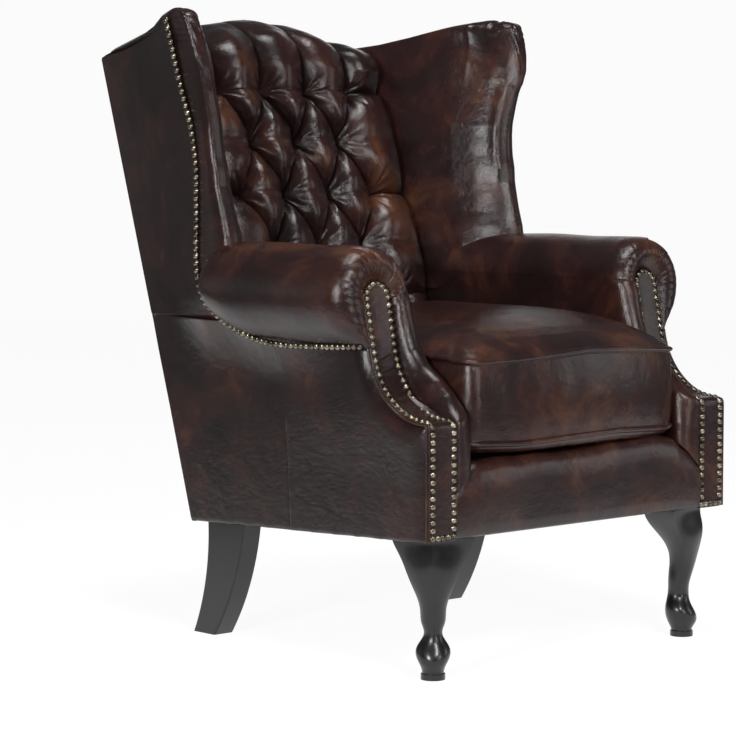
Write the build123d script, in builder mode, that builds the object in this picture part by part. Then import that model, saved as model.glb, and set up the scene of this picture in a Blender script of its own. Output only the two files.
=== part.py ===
from build123d import *
import os
from math import ceil, cos, hypot, radians, sin, sqrt, tan

# A wing chair with rolled arms, a deep buttoned back and a loose seat cushion, on two cabriole
# front legs and two sabre back legs. X runs across the chair, Y from front to back and Z up, in
# millimetres. The origin is on the floor under the middle of the chair. Depths are measured back
# from the front face of the arms, and half widths out from the middle.

os.makedirs("parts", exist_ok=True)

# Whole chair
overall_depth = 890
crest_height = 1040
fit_gap = 0.3

# Covered base and its tapered sides
hem_front = 218
hem_back = 193
back_foot_depth = 594
back_rake = 17.4
side_half_front = 336
side_half_back = 315
side_taper_run = 650
panel_thickness = 4
dust_cover_thickness = 1.5

# Wooden frame
frame_inner_half = 283
rail_thickness = 28
seat_rail_top = 285
post_depth = 45
back_post_drop = 135
arm_board_thickness = 25
lining_thickness = 3
corner_block_size = 58
corner_block_height = 44
tack_rail_bottom = 345
tack_rail_height = 40
crest_rail_drop = 30

# Arms: front facing with its hollow scroll, and the roll behind it
facing_inner_half = 280
facing_thickness = 6
scroll_depth = 8
scroll_height = 522
scroll_drop = 124
tongue_lean = 11.6
tongue_rise = 82
tongue_round = 21
arm_post_depth = 34
roll_half = 316
roll_rise = 61
roll_radius = 78
roll_front = 131
roll_rear = 505
roll_front_round = 46
roll_rear_round = 42
arm_face_round = 30
arm_face_bottom = 340
arm_face_dip = 53
seam_back_rise = 5
seam_front_rise = 51

# Front rail cover and seat deck
rail_pad = 12
rail_roll_depth = 45
rail_roll_height = 50
rail_roll_round = 20
deck_thickness = 46

# Springs under the deck
spring_count = 5
spring_spacing = 96
spring_wire = 3.8
spring_loops = 9
spring_wave = 26
spring_inset = 14
clip_width = 24
clip_length = 18
clip_thickness = 1.5

# Webbing across the back frame
webbing_width = 50
webbing_thickness = 2
webbing_rows = 5
webbing_columns = 3
webbing_lap = 17

# Buttoned inside back
tuft_foot_depth = 546.7
tuft_drop = 135
tuft_rake = 19.5
button_spacing = 100
row_spacing = 96
lowest_button_height = 541
button_radius = 11
button_height = 8
button_round = 3.5
pillow_height = 45
crease_height = 20
dimple_reach = 27
back_pad_half = 236
back_pad_bottom = 345
back_pad_thickness = 160
crest_setback = 23.4
crest_front_reach = 57
crest_spring_drop = 85
crest_swell_setback = 79
crest_swell_drop = 18
shoulder_drop = 72
back_crown = 26.6
crest_rear_drop = 32
crest_rear_swell = 9

# Wings
wing_bottom_drop = 49
wing_front_depth = 512
wing_front_half = 350
wing_sweep = 57
wing_flare = 42
wing_root_inset = 100
wing_cheek = 7
nose_reach = 56
nose_width = 54
wing_corner_drop = 72
wing_top_sag = 12
wing_tip_round = 62
wing_post_width = 26
wing_post_depth = 38
wing_post_foot_half = 294
wing_post_foot_setback = 60
wing_post_head_inset = 15
wing_post_head_setback = 90
wing_post_drop = 68
wing_rail_width = 24
wing_rail_height = 32
wing_rail_rear_half = 297
wing_rail_rear_drop = 115
wing_rail_tenon = 12

# Seat cushion
cushion_overhang = 12
cushion_rear = 571
cushion_back_gap = 2
cushion_side_gap = 1.5
cushion_bow = 22
cushion_draw = 5
cushion_corner = 26
cushion_border = 134
cushion_crown = 60
cushion_sag = 16
cover_thickness = 3
filling_gap = 1

# Cabriole front legs
front_leg_half = 287
front_leg_depth = 41
knee_half = 62
foot_disc_radius = 19
foot_disc_height = 9
leg_bolt_setback = 35
leg_top_allowance = 6

# Sabre back legs
back_leg_half = 289
back_leg_width = 40
back_leg_top_front = 489
back_leg_top_width = 98
back_leg_foot_front = 568
back_leg_foot_width = 56
back_leg_belly = 17
back_leg_heel = 16
back_leg_edge = 3

# Leg bolts
bolt_radius = 4
bolt_into_leg = 28
bolt_head_radius = 7.5
bolt_head_height = 5.5
back_bolt_depth = 536

# One overrun serves every cut that runs right through
overrun = 60

front_y = cushion_overhang - overall_depth / 2
rake = radians(back_rake)
facing_kink_height = scroll_height - scroll_drop
tongue_top = scroll_height + tongue_rise
roll_height = scroll_height + roll_rise
wing_bottom = roll_height - wing_bottom_drop
back_post_top = crest_height - back_post_drop
arm_inner_half = roll_half - roll_radius
arm_board_top = roll_height - roll_radius - fit_gap
post_front_inset = panel_thickness + post_depth
webbing_front_inset = post_front_inset + 2 * webbing_thickness
pad_rear_inset = webbing_front_inset + fit_gap
reach = crest_height + overrun


def back(depth):
    """Y of a point that lies a depth behind the front of the arms."""
    return front_y + depth


def hem(depth):
    """Height of the bottom edge of the covered base."""
    return hem_front - (hem_front - hem_back) * depth / back_foot_depth


def back_line(height, inset=0):
    """Depth of the outside back's corner at a height, or of a line inset in front of it."""
    return back_foot_depth + (height - hem_back) * tan(rake) - inset / cos(rake)


def side_half(depth):
    """Half width over the outer sides of the base at a depth."""
    return side_half_front - (side_half_front - side_half_back) * depth / side_taper_run


def hem_plane(lift=0):
    """The sloping underside of the base, facing up."""
    return Plane((0, back(0), hem_front + lift), (1, 0, 0),
                 (0, hem_front - hem_back, back_foot_depth))


def side_face(inset=0):
    """The tapered side of the base at +X, facing out."""
    return Plane((side_half_front - inset, back(0), 0), (0, 0, 1),
                 (side_taper_run, side_half_front - side_half_back, 0))


def raked_plane(inset, height=hem_back):
    """The plane of the back frame, facing forwards, with Y up its slope."""
    return Plane((0, back(back_line(height, inset)), height), (1, 0, 0), (0, -cos(rake), sin(rake)))


def up_slope(height):
    """Distance up the raked plane to a height."""
    return (height - hem_back) / cos(rake)


def facing_line(inset, top):
    """Corners of the arm's front line: hem, kink, middle and end of the hollow scroll, tongue."""
    radius = hypot(scroll_depth, scroll_height - facing_kink_height) + inset
    lean = radians(tongue_lean)
    kink = (inset, scroll_height - sqrt(radius ** 2 - (inset - scroll_depth) ** 2))
    middle = (scroll_depth + radius * cos(radians(45)), scroll_height - radius * sin(radians(45)))
    end = (scroll_depth + radius * cos(lean), scroll_height - radius * sin(lean))
    tongue = (end[0] + (top - end[1]) * tan(lean), top)
    points = ((inset, hem(inset)), kink, middle, end, tongue)
    return [(back(depth), height) for depth, height in points]


def facing_band(front_inset, rear_inset, top):
    """Closed outline between two front lines, as seen from the side."""
    foot, kink, middle, end, tongue = facing_line(front_inset, top)
    rear_foot, rear_kink, rear_middle, rear_end, rear_tongue = facing_line(rear_inset, top)
    Line(foot, kink)
    ThreePointArc(kink, middle, end)
    Line(end, tongue)
    Line(tongue, rear_tongue)
    Line(rear_tongue, rear_end)
    ThreePointArc(rear_end, rear_middle, rear_kink)
    Polyline(rear_kink, rear_foot, foot)


def ahead_of_facing(inset, top):
    """Closed outline of everything in front of a front line, as seen from the side."""
    foot, kink, middle, end, tongue = facing_line(inset, top)
    Line(foot, kink)
    ThreePointArc(kink, middle, end)
    Line(end, tongue)
    Polyline(tongue, (back(-overrun), top), (back(-overrun), foot[1]), foot)


def crest_outline(drop, half, bottom):
    """Closed outline under the arched crest, lowered by drop, as seen from the front."""
    half_shares = (1, 0.79, 0.48)
    drop_shares = (1, 0.63, 0.42)
    left = [(-side_half_back * across, crest_height - drop - shoulder_drop * down)
            for across, down in zip(half_shares, drop_shares)]
    right = [(-x, z) for x, z in reversed(left)]
    Spline(*left, (0, crest_height - drop), *right)
    Polyline(right[-1], (half, bottom), (-half, bottom), left[0])


def save(part, name):
    """Label one finished piece and write its file."""
    part.label = name
    export_step(part, "parts/" + name + ".step")


def save_pair(part, name):
    """Write a piece made on the sitter's left, at +X, and its mirrored twin."""
    save(part, name + "_left")
    with BuildPart() as twin:
        mirror(part, about=Plane.YZ)
    save(twin.part, name + "_right")


# Leg bolts, through the corner blocks into the legs
leg_bolt_x = front_leg_half - leg_bolt_setback * cos(radians(45))
leg_bolt_depth = front_leg_depth + leg_bolt_setback * sin(radians(45))
back_bolt_x = back_leg_half - back_leg_width / 2
bolt_places = [(side * x, back(depth), hem(depth))
               for side in (-1, 1)
               for x, depth in ((leg_bolt_x, leg_bolt_depth), (back_bolt_x, back_bolt_depth))]
block_top = hem_front + dust_cover_thickness + corner_block_height
lining_bottom = block_top + fit_gap
bolt_length = block_top - hem_back

with BuildPart() as leg_bolts:
    for x, y, z in bolt_places:
        with Locations((x, y, z - bolt_into_leg)):
            Cylinder(bolt_radius, block_top - z + bolt_into_leg,
                     align=(Align.CENTER, Align.CENTER, Align.MIN))
        with BuildSketch(Plane((x, y, block_top))):
            RegularPolygon(bolt_head_radius, 6)
        extrude(amount=bolt_head_height)
save(leg_bolts.part, "leg_bolts")

with BuildPart() as bolt_holes:
    with Locations(*[(x, y, z - bolt_into_leg - fit_gap) for x, y, z in bolt_places]):
        Cylinder(bolt_radius + fit_gap, bolt_length + bolt_into_leg + overrun,
                 align=(Align.CENTER, Align.CENTER, Align.MIN))

# Hardwood seat rails
rail_bottom_lift = dust_cover_thickness
front_rail_back = rail_pad + rail_thickness

with BuildPart() as front_seat_rail:
    with BuildSketch(Plane.YZ):
        with BuildLine():
            Polyline((back(rail_pad), hem(rail_pad) + rail_bottom_lift),
                     (back(front_rail_back), hem(front_rail_back) + rail_bottom_lift),
                     (back(front_rail_back), seat_rail_top), (back(rail_pad), seat_rail_top), close=True)
        make_face()
    extrude(amount=frame_inner_half, both=True)
save(front_seat_rail.part, "front_seat_rail")

with BuildPart() as back_seat_rail:
    with BuildSketch(Plane.YZ):
        with BuildLine():
            foot = hem(back_foot_depth) + rail_bottom_lift
            Polyline((back(back_line(foot, panel_thickness)), foot),
                     (back(back_line(seat_rail_top, panel_thickness)), seat_rail_top),
                     (back(back_line(seat_rail_top, panel_thickness + rail_thickness)), seat_rail_top),
                     (back(back_line(foot, panel_thickness + rail_thickness)), foot), close=True)
        make_face()
    extrude(amount=frame_inner_half, both=True)
    split(bisect_by=hem_plane(rail_bottom_lift), keep=Keep.TOP)
save(back_seat_rail.part, "back_seat_rail")

with BuildPart() as side_seat_rail:
    with BuildSketch(Plane.YZ.offset(frame_inner_half)):
        with BuildLine():
            Polyline((back(facing_thickness + arm_post_depth), hem_back),
                     (back(facing_thickness + arm_post_depth), seat_rail_top),
                     (back(back_line(seat_rail_top, post_front_inset)), seat_rail_top),
                     (back(back_line(hem_back, post_front_inset)), hem_back), close=True)
        make_face()
    extrude(amount=side_half_front)
    split(bisect_by=side_face(panel_thickness), keep=Keep.BOTTOM)
    split(bisect_by=hem_plane(rail_bottom_lift), keep=Keep.TOP)
save_pair(side_seat_rail.part, "side_seat_rail")

# Glued and screwed blocks in the four corners of the seat frame, bored for the leg bolts
with BuildPart() as corner_blocks:
    for side in (-1, 1):
        inner = side * (frame_inner_half - corner_block_size)
        with BuildSketch(Plane.YZ.offset(inner)):
            with BuildLine():
                block_rear = front_rail_back + corner_block_size
                Polyline((back(front_rail_back), hem_back), (back(block_rear), hem_back),
                         (back(block_rear), block_top), (back(front_rail_back), block_top), close=True)
            make_face()
            with BuildLine():
                back_inset = panel_thickness + rail_thickness
                block_front = back_line(hem_back, back_inset) - corner_block_size
                Polyline((back(block_front), hem_back), (back(block_front), block_top),
                         (back(back_line(block_top, back_inset)), block_top),
                         (back(back_line(hem_back, back_inset)), hem_back), close=True)
            make_face()
        extrude(amount=side * corner_block_size)
    split(bisect_by=hem_plane(rail_bottom_lift), keep=Keep.TOP)
    add(bolt_holes.part, mode=Mode.SUBTRACT)
save(corner_blocks.part, "corner_blocks")

# Arm posts behind the front facings, cut to the same hollow scroll
with BuildPart() as arm_post:
    with BuildSketch(Plane.YZ.offset(frame_inner_half)):
        with BuildLine():
            facing_band(facing_thickness, facing_thickness + arm_post_depth, tongue_top - tongue_round)
        make_face()
    extrude(amount=side_half_front)
    split(bisect_by=side_face(panel_thickness), keep=Keep.BOTTOM)
    split(bisect_by=hem_plane(rail_bottom_lift), keep=Keep.TOP)
save_pair(arm_post.part, "arm_post")

# Raked back posts
with BuildPart() as back_post:
    with BuildSketch(Plane.YZ.offset(frame_inner_half)):
        with BuildLine():
            Polyline((back(back_line(hem_back, panel_thickness)), hem_back),
                     (back(back_line(back_post_top, panel_thickness)), back_post_top),
                     (back(back_line(back_post_top, post_front_inset)), back_post_top),
                     (back(back_line(hem_back, post_front_inset)), hem_back), close=True)
        make_face()
    extrude(amount=side_half_back - panel_thickness - frame_inner_half)
    split(bisect_by=side_face(panel_thickness), keep=Keep.BOTTOM)
    split(bisect_by=hem_plane(rail_bottom_lift), keep=Keep.TOP)
save_pair(back_post.part, "back_post")

# Arm boards that carry the rolls
with BuildPart() as arm_board:
    with BuildSketch(Plane.YZ.offset(frame_inner_half)):
        with BuildLine():
            board_bottom = arm_board_top - arm_board_thickness
            Polyline((back(roll_front), board_bottom), (back(roll_front), arm_board_top),
                     (back(back_line(arm_board_top, post_front_inset)), arm_board_top),
                     (back(back_line(board_bottom, post_front_inset)), board_bottom), close=True)
        make_face()
        with BuildLine():
            ahead_of_facing(facing_thickness + arm_post_depth, tongue_top)
        make_face(mode=Mode.SUBTRACT)
    extrude(amount=side_half_front)
    split(bisect_by=side_face(panel_thickness), keep=Keep.BOTTOM)
save_pair(arm_board.part, "arm_board")

# Linings on the inner side of the arm frames
with BuildPart() as arm_lining:
    with BuildSketch(Plane.YZ.offset(frame_inner_half)):
        with BuildLine():
            Polyline((back(facing_thickness), lining_bottom), (back(facing_thickness), arm_board_top),
                     (back(back_line(arm_board_top, webbing_front_inset)), arm_board_top),
                     (back(back_line(lining_bottom, webbing_front_inset)), lining_bottom), close=True)
        make_face()
        with BuildLine():
            ahead_of_facing(facing_thickness + arm_post_depth, tongue_top)
        make_face(mode=Mode.SUBTRACT)
    extrude(amount=-lining_thickness)
save_pair(arm_lining.part, "arm_lining")

# Rails across the back frame: a low one for tacking and the arched crest rail
skin_half = side_half(back_line(wing_bottom)) - panel_thickness - fit_gap

with BuildPart() as back_tack_rail:
    with BuildSketch(raked_plane(post_front_inset)):
        with Locations((0, up_slope(tack_rail_bottom))):
            Rectangle(2 * frame_inner_half, tack_rail_height, align=(Align.CENTER, Align.MIN))
    extrude(amount=-post_depth)
save(back_tack_rail.part, "back_tack_rail")


def raked_band(front_inset, rear_inset, bottom, top):
    """Closed outline of a leaning band in the thickness of the back, as seen from the side."""
    Polyline((back(back_line(bottom, rear_inset)), bottom), (back(back_line(top, rear_inset)), top),
             (back(back_line(top, front_inset)), top), (back(back_line(bottom, front_inset)), bottom),
             close=True)


with BuildPart() as crest_rail:
    with BuildSketch(Plane.XZ):
        with BuildLine():
            crest_outline(crest_rail_drop, side_half_back, back_post_top)
        make_face()
        Rectangle(2 * skin_half, 2 * reach, mode=Mode.INTERSECT)
    extrude(amount=reach, both=True)
    with BuildSketch(Plane.YZ):
        with BuildLine():
            raked_band(post_front_inset, panel_thickness, hem_back, reach)
        make_face()
    extrude(amount=reach, both=True, mode=Mode.INTERSECT)
save(crest_rail.part, "crest_rail")

# Webbing tacked across the front of the back frame
with BuildPart() as back_webbing:
    web_bottom = up_slope(tack_rail_bottom)
    web_top = up_slope(back_post_top) + webbing_width
    with BuildSketch(raked_plane(post_front_inset)):
        step = (up_slope(back_post_top) - web_bottom - webbing_width) / webbing_rows
        for row in range(webbing_rows):
            with Locations((0, web_bottom + step * (row + 1))):
                Rectangle(2 * (frame_inner_half + webbing_lap), webbing_width)
    extrude(amount=webbing_thickness)
    with BuildSketch(raked_plane(post_front_inset + webbing_thickness)):
        for column in range(webbing_columns):
            across = frame_inner_half * (2 * (column + 1) / (webbing_columns + 1) - 1)
            with Locations((across, web_bottom)):
                Rectangle(webbing_width, web_top - web_bottom, align=(Align.CENTER, Align.MIN))
    extrude(amount=webbing_thickness)
save(back_webbing.part, "back_webbing")

# Sinuous seat springs, clipped to the front and back rails
spring_front = rail_pad + spring_inset
spring_rear = back_line(seat_rail_top, panel_thickness + spring_inset)
spring_bottom = seat_rail_top + clip_thickness
spring_places = [spring_spacing * (place - (spring_count - 1) / 2) for place in range(spring_count)]

with BuildPart() as seat_springs:
    with BuildSketch(Plane.XY.offset(spring_bottom)):
        for x in spring_places:
            step = (spring_rear - spring_front) / spring_loops
            with BuildLine():
                for loop in range(spring_loops):
                    start = spring_front + step * loop
                    swing = spring_wave * (-1) ** loop
                    ThreePointArc((x, back(start)), (x + swing, back(start + step / 2)),
                                  (x, back(start + step)))
            trace(line_width=spring_wire)
    extrude(amount=spring_wire)
save(seat_springs.part, "seat_springs")

with BuildPart() as spring_clips:
    clip_height = spring_wire + 2 * clip_thickness
    for x in spring_places:
        with BuildSketch(Plane.YZ.offset(x - clip_width / 2)):
            for end, mouth in ((spring_front, 1), (spring_rear, -1)):
                with Locations((back(end), seat_rail_top)):
                    Rectangle(clip_length, clip_height, align=(Align.CENTER, Align.MIN))
                with Locations((back(end + mouth * clip_thickness / 2), seat_rail_top + clip_thickness)):
                    Rectangle(clip_length - clip_thickness, spring_wire, align=(Align.CENTER, Align.MIN),
                              mode=Mode.SUBTRACT)
        extrude(amount=clip_width)
save(spring_clips.part, "spring_clips")

# Padded deck that the cushion lies on
deck_bottom = seat_rail_top + clip_height + fit_gap
deck_top = deck_bottom + deck_thickness
deck_rear = back_line(seat_rail_top, pad_rear_inset)

with BuildPart() as seat_deck:
    with BuildSketch(Plane.XY.offset(deck_bottom)):
        with Locations((0, back(rail_roll_depth + fit_gap))):
            Rectangle(2 * (arm_inner_half - fit_gap), deck_rear - rail_roll_depth - fit_gap,
                      align=(Align.CENTER, Align.MIN))
    extrude(amount=deck_thickness)
save(seat_deck.part, "seat_deck")

# Cloth under the frame
with BuildPart() as dust_cover:
    with BuildSketch(Plane.YZ):
        with BuildLine():
            cover_rear = back_line(hem_back, panel_thickness)
            Polyline((back(rail_pad), hem(rail_pad)), (back(cover_rear), hem(cover_rear)),
                     (back(cover_rear), hem(cover_rear) + dust_cover_thickness),
                     (back(rail_pad), hem(rail_pad) + dust_cover_thickness), close=True)
        make_face()
    extrude(amount=side_half_front)
    split(bisect_by=side_face(panel_thickness), keep=Keep.BOTTOM)
    mirror(about=Plane.YZ)
    add(bolt_holes.part, mode=Mode.SUBTRACT)
save(dust_cover.part, "dust_cover")

# Cabriole front legs, lofted through sections that lean out along the diagonal of the corner
leg_level_shares = (0.9, 0.775, 0.647, 0.518, 0.39, 0.275, 0.193, 0.128, 0.078)
leg_levels = [hem_front + leg_top_allowance] + [hem_front * share for share in leg_level_shares]
leg_levels.append(foot_disc_height)
leg_shift_shares = (-0.27, -0.23, -0.05, 0.03, -0.02, -0.09, -0.1, -0.05, 0, 0, 0)
leg_along_shares = (0.81, 0.74, 0.58, 0.4, 0.33, 0.28, 0.31, 0.395, 0.4, 0.32, 0.27)
leg_across_shares = (1, 0.9, 0.69, 0.5, 0.34, 0.29, 0.3, 0.435, 0.37, 0.29, 0.27)
leg_swell_shares = (0.1, 0.12, 0.3, 0.5, 0.8, 0.95, 0.95, 1, 1, 1, 1)

with BuildPart() as front_leg:
    outward = Vector(1, -1, 0).normalized()
    foot = Vector(front_leg_half, back(front_leg_depth), 0)
    for level, shift, along, across, swell in zip(leg_levels, leg_shift_shares, leg_along_shares,
                                                  leg_across_shares, leg_swell_shares):
        centre = foot + outward * (knee_half * shift) + Vector(0, 0, level)
        with BuildSketch(Plane(centre, outward, (0, 0, 1))):
            with BuildLine():
                tips = [(knee_half * along, 0), (0, knee_half * across),
                        (-knee_half * along, 0), (0, -knee_half * across)]
                round_share = 0.5 + swell * (sqrt(2) - 1) / 2
                for (x0, y0), (x1, y1) in zip(tips, tips[1:] + tips[:1]):
                    ThreePointArc((x0, y0), ((x0 + x1) * round_share, (y0 + y1) * round_share), (x1, y1))
            make_face()
    loft()
    split(bisect_by=hem_plane(), keep=Keep.BOTTOM)
    add(bolt_holes.part, mode=Mode.SUBTRACT)
save_pair(front_leg.part, "front_leg")

with BuildPart() as foot_discs:
    with Locations(*[(side * front_leg_half, back(front_leg_depth), 0) for side in (-1, 1)]):
        Cylinder(foot_disc_radius, foot_disc_height, align=(Align.CENTER, Align.CENTER, Align.MIN))
save(foot_discs.part, "foot_discs")

# Sabre back legs
with BuildPart() as back_leg:
    with BuildSketch(Plane.YZ.offset(back_leg_half - back_leg_width)):
        with BuildLine():
            top = hem_front
            top_front = (back(back_leg_top_front), top)
            top_rear = (back(back_leg_top_front + back_leg_top_width), top)
            foot_front = (back(back_leg_foot_front), 0)
            foot_rear = (back(back_leg_foot_front + back_leg_foot_width), 0)
            belly = ((top_front[0] + foot_front[0]) / 2 - back_leg_belly, top / 2)
            heel = ((top_rear[0] + foot_rear[0]) / 2 - back_leg_heel, top / 2)
            ThreePointArc(top_front, belly, foot_front)
            Line(foot_front, foot_rear)
            ThreePointArc(foot_rear, heel, top_rear)
            Line(top_rear, top_front)
        make_face()
    extrude(amount=back_leg_width)
    fillet(back_leg.edges().filter_by(GeomType.CIRCLE), back_leg_edge)
    split(bisect_by=hem_plane(), keep=Keep.BOTTOM)
    add(bolt_holes.part, mode=Mode.SUBTRACT)
save_pair(back_leg.part, "back_leg")

# Padded leather over the front rail, with a soft roll along its top
facing_slope = Plane((arm_inner_half, 0, arm_face_bottom), (0, 1, 0),
                     (arm_face_dip, 0, facing_inner_half - arm_inner_half))

with BuildPart() as front_rail_cover:
    with BuildSketch(Plane.YZ) as cover_section:
        with BuildLine():
            roll_top = seat_rail_top + rail_roll_height
            Polyline((back(0), hem_front), (back(0), roll_top), (back(rail_roll_depth), roll_top),
                     (back(rail_roll_depth), deck_bottom), (back(rail_pad), deck_bottom),
                     (back(rail_pad), hem(rail_pad)), close=True)
        make_face()
        fillet(cover_section.vertices().group_by(Axis.Y)[-1], rail_roll_round)
    extrude(amount=facing_inner_half)
    split(bisect_by=facing_slope.offset(-fit_gap), keep=Keep.BOTTOM)
    mirror(about=Plane.YZ)
save(front_rail_cover.part, "front_rail_cover")

# Nailed front facings of the arms, from the hem up into a round tongue
with BuildPart() as arm_facing:
    with BuildSketch(Plane.YZ.offset(facing_inner_half + fit_gap)):
        with BuildLine():
            facing_band(0, facing_thickness, tongue_top)
        make_face()
    extrude(amount=side_half_front - panel_thickness - facing_inner_half - fit_gap)
    fillet(arm_facing.edges().filter_by(Axis.Y).group_by(Axis.Z)[-1], tongue_round)
    split(bisect_by=side_face(panel_thickness), keep=Keep.BOTTOM)
save_pair(arm_facing.part, "arm_facing")

# Arm upholstery: the rounded roll on the arm board and the inner face down to the deck
with BuildPart() as arm_roll:
    with BuildSketch(Plane.XZ.offset(-back(roll_front))):
        with Locations((roll_half, roll_height)):
            Circle(roll_radius)
    extrude(amount=roll_front - roll_rear)
    rims = arm_roll.edges().filter_by(GeomType.CIRCLE).sort_by(Axis.Y)
    fillet(rims[0], roll_front_round)
    fillet(arm_roll.edges().filter_by(GeomType.CIRCLE).sort_by(Axis.Y)[-1], roll_rear_round)

with BuildPart() as arm_pad:
    with BuildSketch(Plane.YZ.offset(arm_inner_half)):
        with BuildLine():
            foot, kink, middle, end, tongue = facing_line(0, roll_height)
            face_foot = arm_face_bottom - arm_face_dip
            seam_back = roll_height + seam_back_rise
            seam_front = roll_height + seam_front_rise
            Line((back(0), face_foot), kink)
            ThreePointArc(kink, middle, end)
            Polyline(end, tongue, (back(roll_rear), roll_height), (back(roll_rear), seam_front),
                     (back(back_line(seam_back, pad_rear_inset)), seam_back),
                     (back(back_line(face_foot, pad_rear_inset)), face_foot), (back(0), face_foot))
        make_face()
    extrude(amount=facing_inner_half - arm_inner_half)
    inner_edges = arm_pad.faces().sort_by(Axis.X)[0].edges()
    fillet(inner_edges.filter_by(lambda edge: edge.center().Y < back(roll_front + facing_thickness)),
           arm_face_round)
    split(bisect_by=facing_slope, keep=Keep.TOP)
    add(arm_roll.part)
    add(arm_post.part, mode=Mode.SUBTRACT)
    add(arm_facing.part, mode=Mode.SUBTRACT)
save_pair(arm_pad.part, "arm_pad")

# Outside arm panels
wing_sweep_shares = (0, 0.4, 0.42, 0.39, 0.54, 0.72, 0.79, 1)
arm_panel_rise = wing_front_depth + wing_sweep * wing_sweep_shares[1]
with BuildPart() as outside_arm:
    with BuildSketch(Plane.YZ.offset(arm_inner_half)):
        with BuildLine():
            foot, kink, middle, end, tongue = facing_line(0, arm_board_top)
            Line(foot, kink)
            ThreePointArc(kink, middle, end)
            Polyline(end, tongue, (back(roll_rear), arm_board_top), (back(arm_panel_rise), wing_bottom),
                     (back(back_line(wing_bottom)), wing_bottom), (back(back_line(0)), 0),
                     (back(0), 0), foot)
        make_face()
    extrude(amount=side_half_front)
    split(bisect_by=side_face(), keep=Keep.BOTTOM)
    split(bisect_by=side_face(panel_thickness), keep=Keep.TOP)
    split(bisect_by=hem_plane(), keep=Keep.TOP)
save_pair(outside_arm.part, "outside_arm")

# Wing frames inside the wings: a leaning front post and a top rail back to the crest rail
wing_rail_rear_height = crest_height - wing_rail_rear_drop
post_foot = Vector(wing_post_foot_half, back(wing_front_depth + wing_post_foot_setback), arm_board_top)
post_head = Vector(wing_front_half - wing_post_head_inset,
                   back(wing_front_depth + wing_post_head_setback), crest_height - wing_post_drop)
rail_front = post_head - Vector(0, 0, wing_rail_height)
rail_rear = Vector(wing_rail_rear_half,
                   back(back_line(wing_rail_rear_height, post_front_inset - wing_rail_tenon)),
                   wing_rail_rear_height)

with BuildPart() as wing_post:
    with BuildSketch(Plane(post_foot - (post_head - post_foot).normalized() * wing_post_depth, (1, 0, 0),
                           post_head - post_foot)):
        Rectangle(wing_post_width, wing_post_depth)
    extrude(amount=(post_head - post_foot).length + wing_post_depth)
    split(bisect_by=Plane.XY.offset(arm_board_top), keep=Keep.TOP)
save_pair(wing_post.part, "wing_post")

with BuildPart() as rail_blank:
    with BuildSketch(Plane(rail_front, (1, 0, 0), rail_rear - rail_front)):
        Rectangle(wing_rail_width, wing_rail_height)
    extrude(amount=(rail_rear - rail_front).length)
    add(wing_post.part, mode=Mode.SUBTRACT)
    add(crest_rail.part, mode=Mode.SUBTRACT)
    add(back_post.part, mode=Mode.SUBTRACT)

with BuildPart() as wing_rail:
    add(rail_blank.solids().sort_by(SortBy.VOLUME)[-1])
save_pair(wing_rail.part, "wing_rail")

# Outside back, crowned across its width, from the hem to the top of the crest rail
wing_root_half = side_half(back_line(wing_bottom))
back_section = Plane((0, back(back_line(0)), 0), (1, 0, 0), (0, sin(rake), cos(rake)))


def crowned_outline(flat):
    """Closed outline between the crowned outer face and a flat line inset in front of it."""
    ThreePointArc((-skin_half, 0), (0, back_crown), (skin_half, 0))
    Polyline((skin_half, 0), (skin_half, -flat), (-skin_half, -flat), (-skin_half, 0))


with BuildPart() as outside_back:
    with BuildSketch(back_section):
        with BuildLine():
            crowned_outline(panel_thickness)
        make_face()
    extrude(amount=2 * reach)
    with BuildSketch(Plane.XZ):
        with BuildLine():
            crest_outline(crest_rail_drop, side_half_back, 0)
        make_face()
    extrude(amount=reach, both=True, mode=Mode.INTERSECT)
    split(bisect_by=hem_plane(), keep=Keep.TOP)
save(outside_back.part, "outside_back")

# Space behind the upholstery of the back, which the frame and the outside back fill
with BuildPart() as frame_space:
    with BuildSketch(Plane.YZ):
        with BuildLine():
            raked_band(pad_rear_inset, -reach, 0, reach)
        make_face()
    extrude(amount=reach, both=True)
    with BuildSketch(Plane.XZ):
        with BuildLine():
            crest_outline(crest_rail_drop - fit_gap, side_half_back, 0)
        make_face()
    extrude(amount=reach, both=True, mode=Mode.INTERSECT)

# Buttoned inside back: two sets of rolls crossing on the diagonals of the buttons make the
# diamonds, upright rolls between the top buttons run over the crest, and each button is sunk
tuft_angle = radians(tuft_rake)
tuft_height = crest_height - tuft_drop
tuft_depth = tuft_foot_depth + (tuft_height - back_pad_bottom) * tan(tuft_angle)
crest_depth = back_line(crest_height) - crest_setback
crest_spring_height = crest_height - crest_spring_drop
crest_rear_height = crest_height - crest_rear_drop
tuft_up = Vector(0, sin(tuft_angle), cos(tuft_angle))
tuft_out = Vector(0, -cos(tuft_angle), sin(tuft_angle))
tuft_origin = Vector(0, back(tuft_depth), tuft_height)
tuft_plane = Plane(tuft_origin, (1, 0, 0), tuft_out)
diagonal = hypot(button_spacing / 2, row_spacing)
diagonal_sin = button_spacing / 2 / diagonal
diagonal_cos = row_spacing / diagonal
diagonal_plane = Plane(tuft_origin, Vector(-1, 0, 0) * diagonal_cos + tuft_up * diagonal_sin,
                       Vector(1, 0, 0) * diagonal_sin + tuft_up * diagonal_cos)
crease_spacing = button_spacing * diagonal_cos
crease_run = (tuft_height - back_pad_bottom) * diagonal_sin / cos(tuft_angle) + back_pad_half * diagonal_cos
creases_below = ceil(crease_run / crease_spacing) + 1
rows_below = int((tuft_height - lowest_button_height) / (row_spacing * cos(tuft_angle)))
button_places = []
for row in range(rows_below + 1):
    in_row = 4 - row % 2
    for place in range(in_row):
        button_places.append((button_spacing * (place - (in_row - 1) / 2), -row_spacing * row))


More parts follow.
